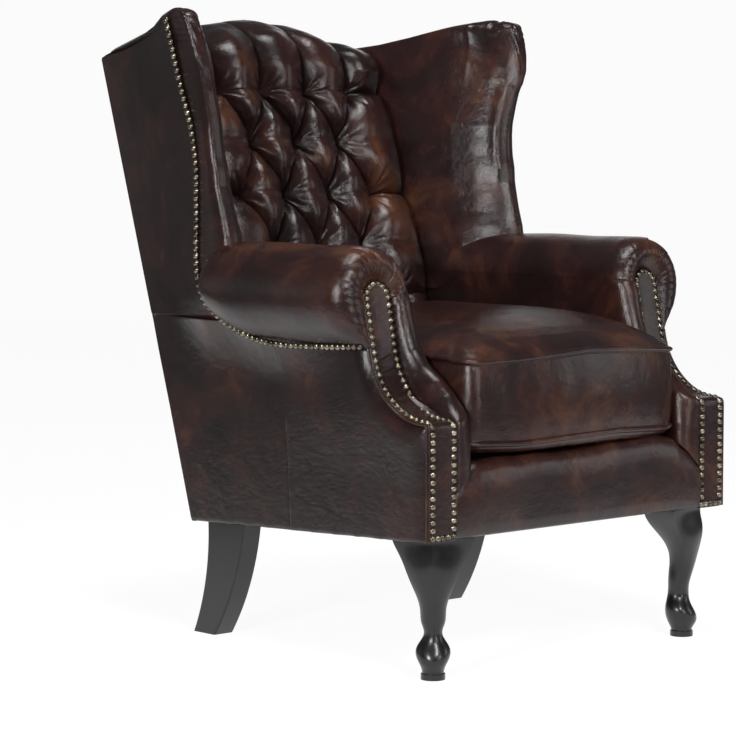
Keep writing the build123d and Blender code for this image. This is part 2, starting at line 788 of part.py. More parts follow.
with BuildPart() as back_pad:
    with BuildSketch(diagonal_plane):
        with BuildLine():
            creases = [crease_spacing * (place + 1 / 2) for place in range(-creases_below, 4)]
            for left, right in zip(creases, creases[1:]):
                ThreePointArc((left, crease_height), ((left + right) / 2, pillow_height),
                              (right, crease_height))
            Polyline((creases[-1], crease_height), (creases[-1], -back_pad_thickness),
                     (creases[0], -back_pad_thickness), (creases[0], crease_height))
        make_face()
    extrude(amount=reach, both=True)
    mirror(about=Plane.YZ, mode=Mode.INTERSECT)
    split(bisect_by=Plane(tuft_origin, (1, 0, 0), tuft_up), keep=Keep.BOTTOM)
    extrude(back_pad.faces().sort_by(Axis(tuft_origin, tuft_up))[-1], amount=reach)
    with BuildSketch(Plane.YZ):
        with BuildLine():
            lean = tan(tuft_angle)
            spring_depth = tuft_depth + (crest_spring_height - tuft_height) * lean
            crest_spring = (back(spring_depth - crest_front_reach), crest_spring_height)
            front_reach = (pillow_height + fit_gap) / cos(tuft_angle)
            low_front = cushion_rear + cushion_back_gap
            low_height = tuft_height - (tuft_depth - front_reach - low_front) / lean
            crest_top = (back(crest_depth), crest_height)
            crest_rear = (back(back_line(crest_rear_height, -back_crown)), crest_rear_height)
            crest_swell = ((crest_top[0] + crest_rear[0]) / 2 + crest_rear_swell,
                           (crest_top[1] + crest_rear[1]) / 2 + crest_rear_swell)
            Polyline((back(low_front), back_pad_bottom), (back(low_front), low_height), crest_spring)
            ThreePointArc(crest_spring, (crest_top[0] - crest_swell_setback,
                                         crest_top[1] - crest_swell_drop), crest_top)
            ThreePointArc(crest_top, crest_swell, crest_rear)
            Polyline(crest_rear, (crest_rear[0], back_pad_bottom), (back(low_front), back_pad_bottom))
        make_face()
    extrude(amount=back_pad_half, both=True, mode=Mode.INTERSECT)
    with BuildSketch(Plane.XZ):
        with BuildLine():
            crest_outline(0, side_half_back, 0)
        make_face()
    extrude(amount=reach, both=True, mode=Mode.INTERSECT)
    with BuildSketch(back_section):
        with BuildLine():
            crowned_outline(reach)
        make_face()
    extrude(amount=2 * reach, mode=Mode.INTERSECT)
    add(frame_space.part, mode=Mode.SUBTRACT)
    with Locations(*[tuft_plane.location * Location((x, y, 0)) for x, y in button_places]):
        Cone(button_radius + fit_gap, button_radius + dimple_reach, back_pad_thickness / 2,
             align=(Align.CENTER, Align.CENTER, Align.MIN), mode=Mode.SUBTRACT)
    split(bisect_by=Plane.YZ, keep=Keep.TOP)
    mirror(about=Plane.YZ)
save(back_pad.part, "back_pad")

with BuildPart() as button:
    Cylinder(button_radius, button_height, align=(Align.CENTER, Align.CENTER, Align.MIN))
    fillet(button.edges().group_by(Axis.Z)[-1], button_round)

with BuildPart() as back_buttons:
    with Locations(*[tuft_plane.location * Location((x, y, 0)) for x, y in button_places]):
        add(button.part)
save(back_buttons.part, "back_buttons")

# Wings: outlines at rising levels, lofted and cut along the wing's swept top
wing_level_shares = (0, 0.17, 0.33, 0.48, 0.62, 0.77, 0.9, 1)
wing_flare_shares = (0, 0, 0, 0, 0.12, 0.5, 0.86, 1)
wing_nose_shares = (0.8, 1, 1, 0.85, 0.82, 0.82, 0.82, 0.8)
wing_levels = [wing_bottom + (crest_height + fit_gap - wing_bottom) * share for share in wing_level_shares]
wing_fronts = [(wing_front_half + wing_flare * flare, back(wing_front_depth + wing_sweep * sweep))
               for flare, sweep in zip(wing_flare_shares, wing_sweep_shares)]
wing_tip = (back(wing_front_depth + wing_sweep), crest_height)
wing_rear_share = 0.4
wing_rear_crown = back_crown * wing_rear_share
nose_round_share = 0.45


def wing_top_waste():
    """Closed outline above the wing's top edge, as seen from the side."""
    front = (wing_tip[0] - wing_tip_round, wing_tip[1] - wing_tip_round)
    rear = (back(back_line(crest_height - wing_corner_drop)), crest_height - wing_corner_drop)
    middle = ((wing_tip[0] + rear[0]) / 2, (wing_tip[1] + rear[1]) / 2 - wing_top_sag)
    round_share = sqrt(1 / 2)
    shoulder = (wing_tip[0] - wing_tip_round * round_share,
                wing_tip[1] - wing_tip_round * (1 - round_share))
    far = rear[0] + overall_depth
    ThreePointArc(front, shoulder, wing_tip)
    ThreePointArc(wing_tip, middle, rear)
    Polyline(rear, (far, rear[1] - (far - rear[0]) * (middle[1] - rear[1]) / (rear[0] - middle[0])),
             (far, 2 * reach), (front[0] - overall_depth, 2 * reach),
             (front[0] - overall_depth, front[1]), front)


with BuildPart() as outside_wing:
    for level, (front_x, front_depth) in zip(wing_levels, wing_fronts):
        with BuildSketch(Plane.XY.offset(level)):
            with BuildLine():
                rear_depth = back(back_line(level))
                Polyline((front_x, front_depth), (wing_root_half, rear_depth),
                         (wing_root_half - panel_thickness, rear_depth),
                         (front_x - panel_thickness, front_depth), close=True)
            make_face()
    loft(ruled=True)
    with BuildSketch(Plane.YZ):
        with BuildLine():
            wing_top_waste()
        make_face()
    extrude(amount=reach, both=True, mode=Mode.SUBTRACT)
save_pair(outside_wing.part, "outside_wing")

with BuildPart() as wing_pad:
    for level, (front_x, front_depth), nose in zip(wing_levels, wing_fronts, wing_nose_shares):
        outer_x = front_x - panel_thickness
        inner_x = outer_x - nose_width
        tip_depth = front_depth - nose_reach * nose
        shoulder_depth = tip_depth + nose_width * nose_round_share
        root_x = back_pad_half + fit_gap
        root_depth = back(back_line(level, wing_root_inset))
        cheek = ((inner_x + root_x) / 2 - wing_cheek, (front_depth + root_depth) / 2)
        with BuildSketch(Plane.XY.offset(level)):
            with BuildLine():
                Line((outer_x, front_depth), (outer_x, shoulder_depth))
                ThreePointArc((outer_x, shoulder_depth), ((outer_x + inner_x) / 2, tip_depth),
                              (inner_x, shoulder_depth))
                Line((inner_x, shoulder_depth), (inner_x, front_depth))
                ThreePointArc((inner_x, front_depth), cheek, (root_x, root_depth))
                Polyline((root_x, root_depth), (root_x, back(back_line(level, -wing_rear_crown))),
                         (wing_root_half - panel_thickness, back(back_line(level))),
                         (outer_x, front_depth))
            make_face()
    loft(ruled=True)
    with BuildSketch(Plane.YZ):
        with BuildLine():
            wing_top_waste()
        make_face()
    extrude(amount=reach, both=True, mode=Mode.SUBTRACT)
    add(frame_space.part, mode=Mode.SUBTRACT)
    add(wing_post.part, mode=Mode.SUBTRACT)
    add(wing_rail.part, mode=Mode.SUBTRACT)
    add(arm_pad.part, mode=Mode.SUBTRACT)
save_pair(wing_pad.part, "wing_pad")

# Loose seat cushion: a crowned case with a bowed front and drawn-in sides, and its filling
cushion_half = arm_inner_half - cushion_side_gap
cushion_bottom = deck_top + fit_gap
cushion_foot_share = 0.1
cushion_border_shares = ((0.03, 0), (0.008, 0.25), (0, 0.5), (0.008, 0.75), (0.03, 1))
cushion_crown_shares = ((0.1, 0.28), (0.23, 0.54), (0.4, 0.76), (0.6, 0.92), (0.82, 1))


def cushion_sections(shrink):
    """The cushion's outlines from its underside to its crown, drawn in all round by shrink."""
    sections = []
    rings = [(cushion_foot_share, shrink)]
    rings += [(inward, cushion_sag + cushion_border * rise) for inward, rise in cushion_border_shares]
    rings += [(inward, cushion_sag + cushion_border + cushion_crown * rise - shrink)
              for inward, rise in cushion_crown_shares]
    for inset_share, level in rings:
        inset = shrink + cushion_half * inset_share
        half = cushion_half - inset
        front = back(-cushion_overhang + cushion_bow + inset)
        rear = back(cushion_rear - inset)
        draw = cushion_draw * (1 - inset_share)
        with BuildSketch(Plane.XY.offset(cushion_bottom + level)) as outline:
            with BuildLine():
                ThreePointArc((-half, front), (0, front - cushion_bow), (half, front))
                ThreePointArc((half, front), (half - draw, (front + rear) / 2), (half, rear))
                Line((half, rear), (-half, rear))
                ThreePointArc((-half, rear), (draw - half, (front + rear) / 2), (-half, front))
            make_face()
            fillet(outline.vertices(), cushion_corner * (1 - inset_share))
        sections.append(outline.sketch)
    return sections


with BuildPart() as cushion_core:
    loft(cushion_sections(cover_thickness + filling_gap), ruled=True)
save(cushion_core.part, "cushion_core")

with BuildPart() as cushion_hollow:
    loft(cushion_sections(cover_thickness), ruled=True)

with BuildPart() as cushion_cover:
    loft(cushion_sections(0), ruled=True)
    add(cushion_hollow.part, mode=Mode.SUBTRACT)
save(cushion_cover.part, "cushion_cover")
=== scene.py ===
import bmesh
import bpy
import numpy as np
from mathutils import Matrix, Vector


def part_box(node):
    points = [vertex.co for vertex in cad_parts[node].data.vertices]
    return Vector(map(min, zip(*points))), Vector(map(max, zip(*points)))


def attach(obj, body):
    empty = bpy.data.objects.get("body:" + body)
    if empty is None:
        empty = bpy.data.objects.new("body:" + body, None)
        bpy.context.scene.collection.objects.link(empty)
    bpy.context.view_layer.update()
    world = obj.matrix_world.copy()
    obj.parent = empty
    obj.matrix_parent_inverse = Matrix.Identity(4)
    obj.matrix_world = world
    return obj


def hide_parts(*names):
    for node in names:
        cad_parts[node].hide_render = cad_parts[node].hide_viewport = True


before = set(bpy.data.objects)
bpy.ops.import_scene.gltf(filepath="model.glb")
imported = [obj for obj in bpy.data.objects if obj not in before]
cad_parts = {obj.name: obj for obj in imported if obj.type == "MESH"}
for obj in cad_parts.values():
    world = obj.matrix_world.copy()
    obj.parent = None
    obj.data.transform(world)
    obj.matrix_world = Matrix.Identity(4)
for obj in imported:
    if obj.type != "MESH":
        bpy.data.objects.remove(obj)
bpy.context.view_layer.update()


# Seat frame, posts, rails and corner blocks
# Sawn beech, glued and screwed together. Upholstery covers all of it, so it is left unplaned:
# a pale wood with long grain along each rail and the fine ridges of the saw.
def linear(code):
    """Linear colour from an sRGB hex value: each channel through the sRGB curve."""
    values = [int(code[place:place + 2], 16) / 255 for place in (1, 3, 5)]
    return (*(v / 12.92 if v <= 0.04045 else ((v + 0.055) / 1.055) ** 2.4 for v in values), 1.0)


def add(tree, kind, settings=(), links=()):
    """Add a shader node, set its properties, sockets and colour stops, and link its sockets."""
    made = tree.nodes.new("ShaderNode" + kind)
    for key, value in dict(settings).items():
        if key == "stops":
            ramp = made.color_ramp.elements
            while len(ramp) < len(value):
                ramp.new(1.0)
            for stop, (place, colour) in zip(ramp, value):
                stop.position = place
                stop.color = linear(colour)
        elif isinstance(key, int) or key in made.inputs:
            made.inputs[key].default_value = value
        else:
            setattr(made, key, value)
    for key, source in dict(links).items():
        tree.links.new(source, made.inputs[key])
    return made


def begin_material(name):
    """A new material and its empty node tree."""
    made = bpy.data.materials.new(name)
    made.use_nodes = True
    made.node_tree.nodes.clear()
    return made, made.node_tree


def end_material(tree, settings, pattern, stops, rough=(), bump=(), links=()):
    """The surface of a material, linked to its output. A pattern gives its colour through colour
    stops and, where they are given, its roughness between two values and its relief, which has a
    strength and a depth in metres."""
    links = dict(links)
    links["Base Color"] = add(tree, "ValToRGB", {"stops": stops}, {0: pattern}).outputs[0]
    if rough:
        ends = {"To Min": rough[0], "To Max": rough[1]}
        links["Roughness"] = add(tree, "MapRange", ends, {"Value": pattern}).outputs[0]
    if bump:
        sizes = {"Strength": bump[0], "Distance": bump[1]}
        links["Normal"] = add(tree, "Bump", sizes, {"Height": pattern}).outputs[0]
    shader = add(tree, "BsdfPrincipled", settings, links)
    add(tree, "OutputMaterial", links={"Surface": shader.outputs[0]})


def dress(made, nodes):
    """Give one material to CAD nodes."""
    for node in nodes:
        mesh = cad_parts[node].data
        mesh.materials.clear()
        mesh.materials.append(made)


def both(*names):
    """The names of the left and the right pieces."""
    return [name + word for name in names for word in ("_left", "_right")]


beech, tree = begin_material("sawn beech")
place = add(tree, "TexCoord").outputs["Object"]
stretched = add(tree, "Mapping", {"Scale": (1.0, 0.12, 0.3)}, {"Vector": place}).outputs[0]
grain = add(tree, "TexNoise", {"Scale": 260.0, "Detail": 5.0}, {"Vector": stretched}).outputs[0]
end_material(tree, {"Roughness": 0.75}, grain,
             [(0.3, "#b58a5c"), (0.55, "#c9a275"), (0.75, "#d6b68c")], bump=(0.35, 0.0005))
dress(beech, ["front_seat_rail", "back_seat_rail", "corner_blocks", "back_tack_rail", "crest_rail"]
      + both("side_seat_rail", "arm_post", "arm_board", "back_post", "wing_post", "wing_rail"))

# Linings of the inner arms
# Grey-brown millboard, tacked to the arm frames so that the padding has a wall to lie on. It is
# dull and faintly flecked.
def texture(tree, kind, settings, output=0):
    """Output of a texture node that reads the piece's own place in metres."""
    place = add(tree, "TexCoord").outputs["Object"]
    return add(tree, kind, settings, {"Vector": place}).outputs[output]


millboard, tree = begin_material("pressed millboard")
fleck = texture(tree, "TexNoise", {"Scale": 900.0, "Detail": 3.0})
end_material(tree, {"Roughness": 0.9}, fleck, [(0.35, "#7d6a52"), (0.65, "#9a8467")])
dress(millboard, both("arm_lining"))

# Webbing of the back
# Jute webbing 50 mm wide, woven plain, tacked across the back frame: straw-coloured and matt, with
# threads that show as a small check.
jute, tree = begin_material("woven jute webbing")
across = texture(tree, "TexWave", {"Scale": 105.0, "bands_direction": "X"}, 1)
along = texture(tree, "TexWave", {"Scale": 105.0, "bands_direction": "Z"}, 1)
weave = add(tree, "Math", {"operation": "MAXIMUM"}, {0: across, 1: along}).outputs[0]
end_material(tree, {"Roughness": 0.9}, weave, [(0.1, "#8c7850"), (0.8, "#c4ae80")],
             bump=(0.6, 0.0006))
dress(jute, ["back_webbing"])

# Seat springs, their clips and the leg bolts
# Drawn steel wire, pressed clips and turned bolts, oiled and dull: a mid grey metal whose shine
# varies with the oil.
steel, tree = begin_material("oiled drawn steel")
film = texture(tree, "TexNoise", {"Scale": 120.0, "Detail": 4.0})
end_material(tree, {"Metallic": 1.0}, film, [(0.35, "#6c6b69"), (0.65, "#8f8e8c")],
             rough=(0.3, 0.5))
dress(steel, ["seat_springs", "spring_clips", "leg_bolts"])

# Filling of the seat cushion
# Cut polyurethane foam inside the leather case: yellowish, dead matt and open-celled.
foam, tree = begin_material("cut foam")
cells = texture(tree, "TexVoronoi", {"Scale": 700.0})
end_material(tree, {"Roughness": 0.95}, cells, [(0.0, "#b9ad86"), (0.6, "#ddd2ac")],
             bump=(0.5, 0.0008))
dress(foam, ["cushion_core"])

# Cloth under the frame
# Thin black spun cloth, stapled under the seat rails to keep dust out. It is matt, with short
# fibres that show as flecks.
cloth, tree = begin_material("black spun cloth")
fleck = texture(tree, "TexNoise", {"Scale": 1200.0, "Detail": 2.0})
end_material(tree, {"Roughness": 0.9}, fleck, [(0.35, "#151516"), (0.65, "#242424")],
             bump=(0.3, 0.0004))
dress(cloth, ["dust_cover"])

# Legs
# Turned and carved hardwood under black lacquer, rubbed smooth: cabriole legs in front on small
# discs, sabre legs behind. The lacquer is glossy, with faint waves and a few dull rubs.
lacquer, tree = begin_material("black lacquer on hardwood")
rub = texture(tree, "TexNoise", {"Scale": 45.0, "Detail": 4.0})
end_material(tree, {"IOR": 1.5, "Coat Weight": 0.2, "Coat Roughness": 0.15}, rub,
             [(0.35, "#09090b"), (0.7, "#111114")], rough=(0.22, 0.42), bump=(0.15, 0.0006))
dress(lacquer, both("front_leg", "back_leg") + ["foot_discs"])

# Deck under the seat cushion
# Cotton wadding under a dark twill cloth, stretched over the springs and sewn down all round. The
# diagonal ribs of the twill are just seen.
FRONT = -433.0
DECK_HALF, DECK_FRONT, DECK_BACK, DECK_TUCK, DECK_CROWN = 236.0, 46.0, 517.7, 6.0, 5.0


def merge(name, blocks, finish, replaced=(), body="chair"):
    """One mesh from blocks of closed loops, rows by points, in millimetres across the chair, behind
    the arm fronts and up. Each block's ends are closed by a point in the middle of its end loop."""
    points, quads, rubbed_and_shaded_rows, start = [], [], [], 0
    for loops, worn in blocks:
        ends = [np.broadcast_to(end.mean(1, keepdims=True), end.shape)
                for end in (loops[:1], loops[-1:])]
        capped = np.concatenate([ends[0], loops, ends[1]])
        rows, count = capped.shape[:2]
        index = np.arange(rows * count).reshape(rows, count) + start
        turned = np.roll(index, -1, 1)
        corners = np.stack([index[:-1], turned[:-1], turned[1:], index[1:]], -1)
        quads.append(corners.reshape(-1, 4))
        points.append(capped.reshape(-1, 3))
        rubbed_and_shaded_rows.append(np.concatenate([worn[:1], worn, worn[-1:]]).ravel())
        start += rows * count
    points, quads = np.concatenate(points), np.concatenate(quads)
    mesh = bpy.data.meshes.new(name)
    mesh.vertices.add(len(points))
    mesh.vertices.foreach_set("co", ((points + (0, FRONT, 0)) / 1000).ravel())
    mesh.loops.add(quads.size)
    mesh.loops.foreach_set("vertex_index", quads.ravel())
    mesh.polygons.add(len(quads))
    mesh.polygons.foreach_set("loop_start", np.arange(0, quads.size, 4))
    mesh.update(calc_edges=True)
    # Per-point tone of the leather: wear, and on the buttoned back also painted shade that darkens
    # the pleats.
    rubbed_and_shaded_data = mesh.attributes.new("worn", "FLOAT", "POINT").data
    rubbed_and_shaded_data.foreach_set("value", np.concatenate(rubbed_and_shaded_rows))
    shape = bmesh.new()
    shape.from_mesh(mesh)
    bmesh.ops.remove_doubles(shape, verts=shape.verts, dist=2e-6)
    bmesh.ops.recalc_face_normals(shape, faces=shape.faces)
    shape.to_mesh(mesh)
    shape.free()
    mesh.shade_smooth()
    mesh.materials.append(finish)
    piece = bpy.data.objects.new(name, mesh)
    bpy.context.scene.collection.objects.link(piece)
    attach(piece, body)
    if replaced:
        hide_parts(*replaced)
    return piece


def even(loops, level=0.5):
    """The same level of rubbing over all of a block of loops."""
    return loops, np.full(loops.shape[:2], level)


def unit(value):
    """A value held between 0 and 1."""
    return np.clip(value, 0, 1)


def deck_loops(z_low, z_high):
    """A flat pad: a rectangle whose top rises by the product of two sines to a crown, and whose rim
    is round; each row is a loop over the top and back under the pad."""
    u, v = np.meshgrid(np.linspace(0, 1, 41), np.linspace(0, 1, 41), indexing="ij")
    rim = np.minimum(np.minimum(u, 1 - u), np.minimum(v, 1 - v)) * 12
    drop = (z_high - z_low) / 2 * (1 - np.sqrt(1 - (1 - unit(rim)) ** 2))
    x = DECK_HALF * (2 * v - 1)
    y = DECK_FRONT + (DECK_BACK - DECK_FRONT) * u
    crown = DECK_CROWN * (np.sin(np.pi * u) * np.sin(np.pi * v)) ** 0.6
    top = np.stack([x, y, z_high + crown - drop], -1)
    under = np.stack([x, y, z_low + drop], -1)
    return np.concatenate([top, under[:, ::-1]], 1)


twill, tree = begin_material("dark cotton twill")
rib = texture(tree, "TexWave", {"Scale": 160.0, "bands_direction": "DIAGONAL"}, 1)
end_material(tree, {"Roughness": 0.9}, rib, [(0.2, "#1a1210"), (0.8, "#2e211c")],
             bump=(0.4, 0.0005))

low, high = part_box("seat_deck")
deck = merge("deck_pad", [even(deck_loops(low.z * 1000, high.z * 1000 - DECK_TUCK))], twill,
             ["seat_deck"])

# Front faces of the arms
# Shaped boards padded thinly and covered with a strip of leather, which follows the hollow scroll
# up to a round tongue. Close brass nails hold its edges and a welt runs along its outer side. The
# leather is glossy, oxblood rubbed through to brown in clouds, with fine pores and soft dents.
leather, tree = begin_material("antiqued oxblood leather")
cloud = texture(tree, "TexNoise",
                {"Scale": 9.0, "Detail": 5.0, "Roughness": 0.6, "Distortion": 0.6})
blotch = texture(tree, "TexNoise", {"Scale": 34.0, "Detail": 5.0, "Roughness": 0.65})
# The point attribute read here lightens the tone where the hide is rubbed, and darkens the pleats
# of the buttoned back as painted shade.
worn = add(tree, "Attribute", {"attribute_name": "worn"}).outputs["Fac"]
mixed = add(tree, "Math", {"operation": "MULTIPLY_ADD", 1: 0.22}, {0: blotch, 2: cloud}).outputs[0]
shade = add(tree, "Math", {"operation": "MULTIPLY_ADD", 1: 0.4}, {0: worn, 2: mixed}).outputs[0]
stops = [(0.52, "#140c0d"), (0.73, "#231414"), (0.86, "#301a17"), (0.95, "#40261b"),
         (1.0, "#4c2d1f")]
pores = texture(tree, "TexVoronoi", {"Scale": 520.0, "feature": "DISTANCE_TO_EDGE"})
scuffs = texture(tree, "TexNoise",
                 {"Scale": 210.0, "Detail": 6.0, "Roughness": 0.7, "Distortion": 1.2})
grain = add(tree, "Math", {"operation": "MULTIPLY_ADD", 1: 0.7}, {0: pores, 2: scuffs}).outputs[0]
dents = add(tree, "Bump", {"Strength": 0.5, "Distance": 0.003}, {"Height": blotch}).outputs[0]
ridge = add(tree, "Bump", {"Strength": 0.4, "Distance": 0.0007},
            {"Height": grain, "Normal": dents})
rough = add(tree, "MapRange", {"To Min": 0.16, "To Max": 0.31}, {"Value": blotch}).outputs[0]
end_material(tree, {"IOR": 1.46}, shade, stops,
             links={"Roughness": rough, "Normal": ridge.outputs[0]})

HEM, KINK, HOLLOW, TONGUE_TOP = 218.0, 398.0, (8.0, 522.0), 608.0
LEAN = np.radians(11.6)
STRIP_MIDDLE, STRIP_HALF = 307.0, 27.2
FOLD_LINES, FOLD_HEIGHTS = np.array([238, 262, 290, 330, 352]), np.array([0.8, 1, 1.2, 2.2, 1.4])


def stepped(line):
    """Points a millimetre apart along a line of depths and heights."""
    along = np.concatenate([[0], np.cumsum(np.hypot(*np.diff(line, axis=0).T))])
    return np.stack([np.interp(np.arange(0, along[-1]), along, row) for row in line.T], -1)


def eased_line(line, spread):
    """A line after a running mean whose weights are a bell curve over six spreads, and the way it
    faces: square to its steps, to the front of the chair."""
    reach = int(3 * spread)
    weights = np.exp(-0.5 * (np.arange(-reach, reach + 1) / spread) ** 2)
    padded = np.pad(line, ((reach, reach), (0, 0)), "reflect", reflect_type="odd")
    mean = [np.convolve(row, weights / weights.sum(), "valid") for row in padded.T]
    line = np.stack(mean, -1)
    step = np.gradient(line, axis=0)
    return line, np.stack([-step[:, 1], step[:, 0]], -1) / np.hypot(*step.T)[:, None]


def front_line():
    """Depth and height along the arm's front edge at each millimetre, and the way it faces:
    straight up from the hem, a hollow quarter circle, then a straight lean."""
    radius = np.hypot(HOLLOW[0], HOLLOW[1] - KINK)
    low_angle = -np.pi / 2 - np.arcsin(HOLLOW[0] / radius)
    angle = np.linspace(low_angle, -LEAN, 181)
    arc = np.stack([HOLLOW[0] + radius * np.cos(angle), HOLLOW[1] + radius * np.sin(angle)], -1)
    rise = np.linspace(1, TONGUE_TOP - arc[-1, 1], 120)
    lean = np.stack([arc[-1, 0] + rise * np.tan(LEAN), arc[-1, 1] + rise], -1)
    straight = np.stack([np.zeros(180), np.linspace(HEM, KINK - 1, 180)], -1)
    return eased_line(stepped(np.concatenate([straight, arc, lean])), 6.0)


front_path, front_facing = front_line()
front_steps = np.arange(len(front_path))
front_length = len(front_path) - 1.0


def off_line(steps, line, facing, distance, lift):
    """Depth and height at a distance along a line, lifted off it the way it faces."""
    y, z, way_y, way_z = (np.interp(distance, steps, row) for row in (*line.T, *facing.T))
    return y + way_y * lift, z + way_z * lift


def on_front(distance, across, lift):
    """Points on the arm's front at a distance up from the hem, across the chair, lifted off it."""
    y, z = off_line(front_steps, front_path, front_facing, distance, lift)
    return np.stack([across + 0 * y, y, z], -1)


def strip_loops(side):
    """The facing strip: a crowned top across its width, then back along its underside; the width
    shrinks as a half circle at the tongue, and low waves and lapped folds cross it in the hollow,
    each an exponential before its line and a smaller one behind."""
    turn = np.sin(np.linspace(0, np.pi / 2, 16))[1:]
    shoulder = front_length - STRIP_HALF
    distance = np.concatenate([np.linspace(0.5, shoulder, 260), shoulder + STRIP_HALF * turn])
    past = np.clip(distance - shoulder, 0, None)
    half = np.sqrt(np.clip(STRIP_HALF ** 2 - past ** 2, 0.04, None))
    u = np.sin(np.linspace(-1, 1, 23) * np.pi / 2)
    waves = 0.5 * np.sin(distance * 0.33 + side) * np.exp(-((distance - 290) / 60) ** 2)
    slant = distance[:, None] + 9 * u - FOLD_LINES[:, None, None]
    folds = np.where(slant < 0, np.exp(slant / 7), -0.6 * np.exp(-slant / 2.5))
    folds = (folds * FOLD_HEIGHTS[:, None, None]).sum(0)
    lift = 0.6 + 2.6 * (1 - np.abs(u) ** 3) + (waves[:, None] + folds) * (1 - u ** 2)
    lift = np.where(np.abs(u) > 0.998, -0.6, lift)
    across = STRIP_MIDDLE + half[:, None] * u
    top = on_front(distance[:, None] + 0 * across, across, lift)
    under = on_front(distance[:, None] + 0 * across, across, -5.0 + 0 * lift)
    return np.concatenate([top, under[:, ::-1]], 1)


def pair(name, make, finish, stands_for=""):
    """A left piece and a right one: make gives the blocks of a side, 1 or -1, as they are on the
    left, and the right ones are mirrored."""
    for side, word in ((1, "_left"), (-1, "_right")):
        blocks = [(loops * (side, 1, 1), worn) for loops, worn in make(side)]
        replaced = [stands_for + word] if stands_for else []
        piece = merge(name + word, blocks, finish, replaced)


def tube(path, radius, count=10):
    """Loops round a path of points: circles square to it."""
    way = np.gradient(path, axis=0)
    way = way / np.linalg.norm(way, axis=1, keepdims=True)
    one = np.cross(way, (0.83, 0.21, 0.13))
    one = one / np.linalg.norm(one, axis=1, keepdims=True)
    two = np.cross(way, one)
    angle = np.linspace(0, 2 * np.pi, count, endpoint=False)[None, :, None]
    return path[:, None] + radius * (np.cos(angle) * one[:, None] + np.sin(angle) * two[:, None])


pair("arm_facing_strip", lambda side: [even(strip_loops(side), 0.4)], leather, "arm_facing")
welt_steps = np.linspace(1, 452, 226)
welts = [even(tube(on_front(welt_steps, 335.8, 0.9), 1.7), 0.7),
         even(tube(on_front(welt_steps[:184], 339.6, -0.6), 1.9), 0.7)]
pair("arm_facing_welt", lambda side: welts, leather)

# Outer sides of the arms and base
# Thinly padded leather panels: a front one and a rear one that meet in a felled upright seam. They
# curl round the frame at the front edge and the hem, and taper in towards the back.
SIDE_HALF, SIDE_TAPER, BACK_FOOT, BACK_LEAN = 336.5, 21 / 650, 594.0, np.radians(17.4)
NAIL_LINE = np.array([
    [131, 508], [145, 510], [200, 507], [305, 504], [350, 506], [384, 510], [420, 519], [449, 530],
    [475, 541], [491, 551], [506, 561], [518, 573], [528, 592], [534, 616], [536, 660], [536, 705],
    [534, 779], [539, 816], [544, 853], [550, 890], [554, 929], [556, 981], [560, 1002],
    [564, 1018]], float)
NAIL_HALF = np.array([337, 341, 345, 349, 350, 350, 350, 350, 350, 350, 350, 350, 350, 350, 349,
                      348, 350, 351, 354, 362, 371, 383, 386, 387], float)
WING_FOOT_Y, WING_FOOT_Z = 528.0, 532.5


def hem(depth):
    """Height of the bottom edge of the cover: it falls evenly to the back, and is drawn up a little
    between the tacks."""
    return HEM - 25 * depth / BACK_FOOT + 1.3 * np.abs(np.sin(np.pi * depth / 55))


def back_edge(height):
    """Depth of the back corner: it leans back evenly from its foot."""
    return BACK_FOOT + (height - 193) * np.tan(BACK_LEAN)


def side_at(depth):
    """Half width over the sides: it narrows evenly towards the back."""
    return SIDE_HALF - SIDE_TAPER * np.minimum(depth, 650)


def slab(outer, thickness):
    """Loops of a sheet: its outer points, then the same points moved in towards the middle of the
    chair by the thickness, in reverse."""
    inner = outer - np.array([thickness, 0, 0])
    return np.concatenate([outer, inner[:, ::-1]], 1)


def eased(distance, reach, depth):
    """How far a padded edge falls at a distance from it: a quarter ellipse."""
    share = unit(1 - distance / reach)
    return depth * (1 - np.sqrt(1 - share ** 2))


def rounded(distance, reach, depth):
    """How far a soft edge falls at a distance from it: the outer part of a circle that turns
    through 53 degrees."""
    share = 0.8 * unit(1 - distance / reach)
    return depth * (1 - np.sqrt(1 - share ** 2)) / 0.4


def apart(points, line):
    """Distance in the side view from each point to the nearest point of a line."""
    flat = points.reshape(-1, 2)
    far = np.hypot(flat[:, None, 0] - line[None, :, 0], flat[:, None, 1] - line[None, :, 1])
    return far.min(1).reshape(points.shape[:-1])


def top_half(depth):
    """Half width along the top of the side panels: the nail line, then the foot of the wing's
    panel, which draws in as a power of the way back."""
    along = unit((depth - WING_FOOT_Y) / (back_edge(536) - WING_FOOT_Y))
    flare = (1 - along) ** 1.5
    return np.where(depth < WING_FOOT_Y, np.interp(depth, NAIL_LINE[:13, 0], NAIL_HALF[:13]),
                    350 * flare + side_at(depth) * (1 - flare))


def side_top(depth):
    """Height of the top of the side panels: the nail line, then a level seam under the wing."""
    line = np.interp(depth, NAIL_LINE[:8, 0], NAIL_LINE[:8, 1] - 1)
    return line + 4 * unit((depth - 449) / 20)


def arm_front_depth(height):
    """Depth of the arm's front edge at a height."""
    return np.interp(height, front_path[:, 1], front_path[:, 0])


def seam_depth(height):
    """Depth of the upright seam in the side: 345 at the arm, 330 at the hem."""
    return 330 + 15 * (height - 205) / 300


def crowded(count):
    """Shares from 0 to 1, closer together near both ends, as a half cosine."""
    return (1 - np.cos(np.linspace(0, np.pi, count))) / 2


def smooth(value):
    """Smooth step from 0 to 1: three squares less two cubes."""
    value = unit(value)
    return value * value * (3 - 2 * value)


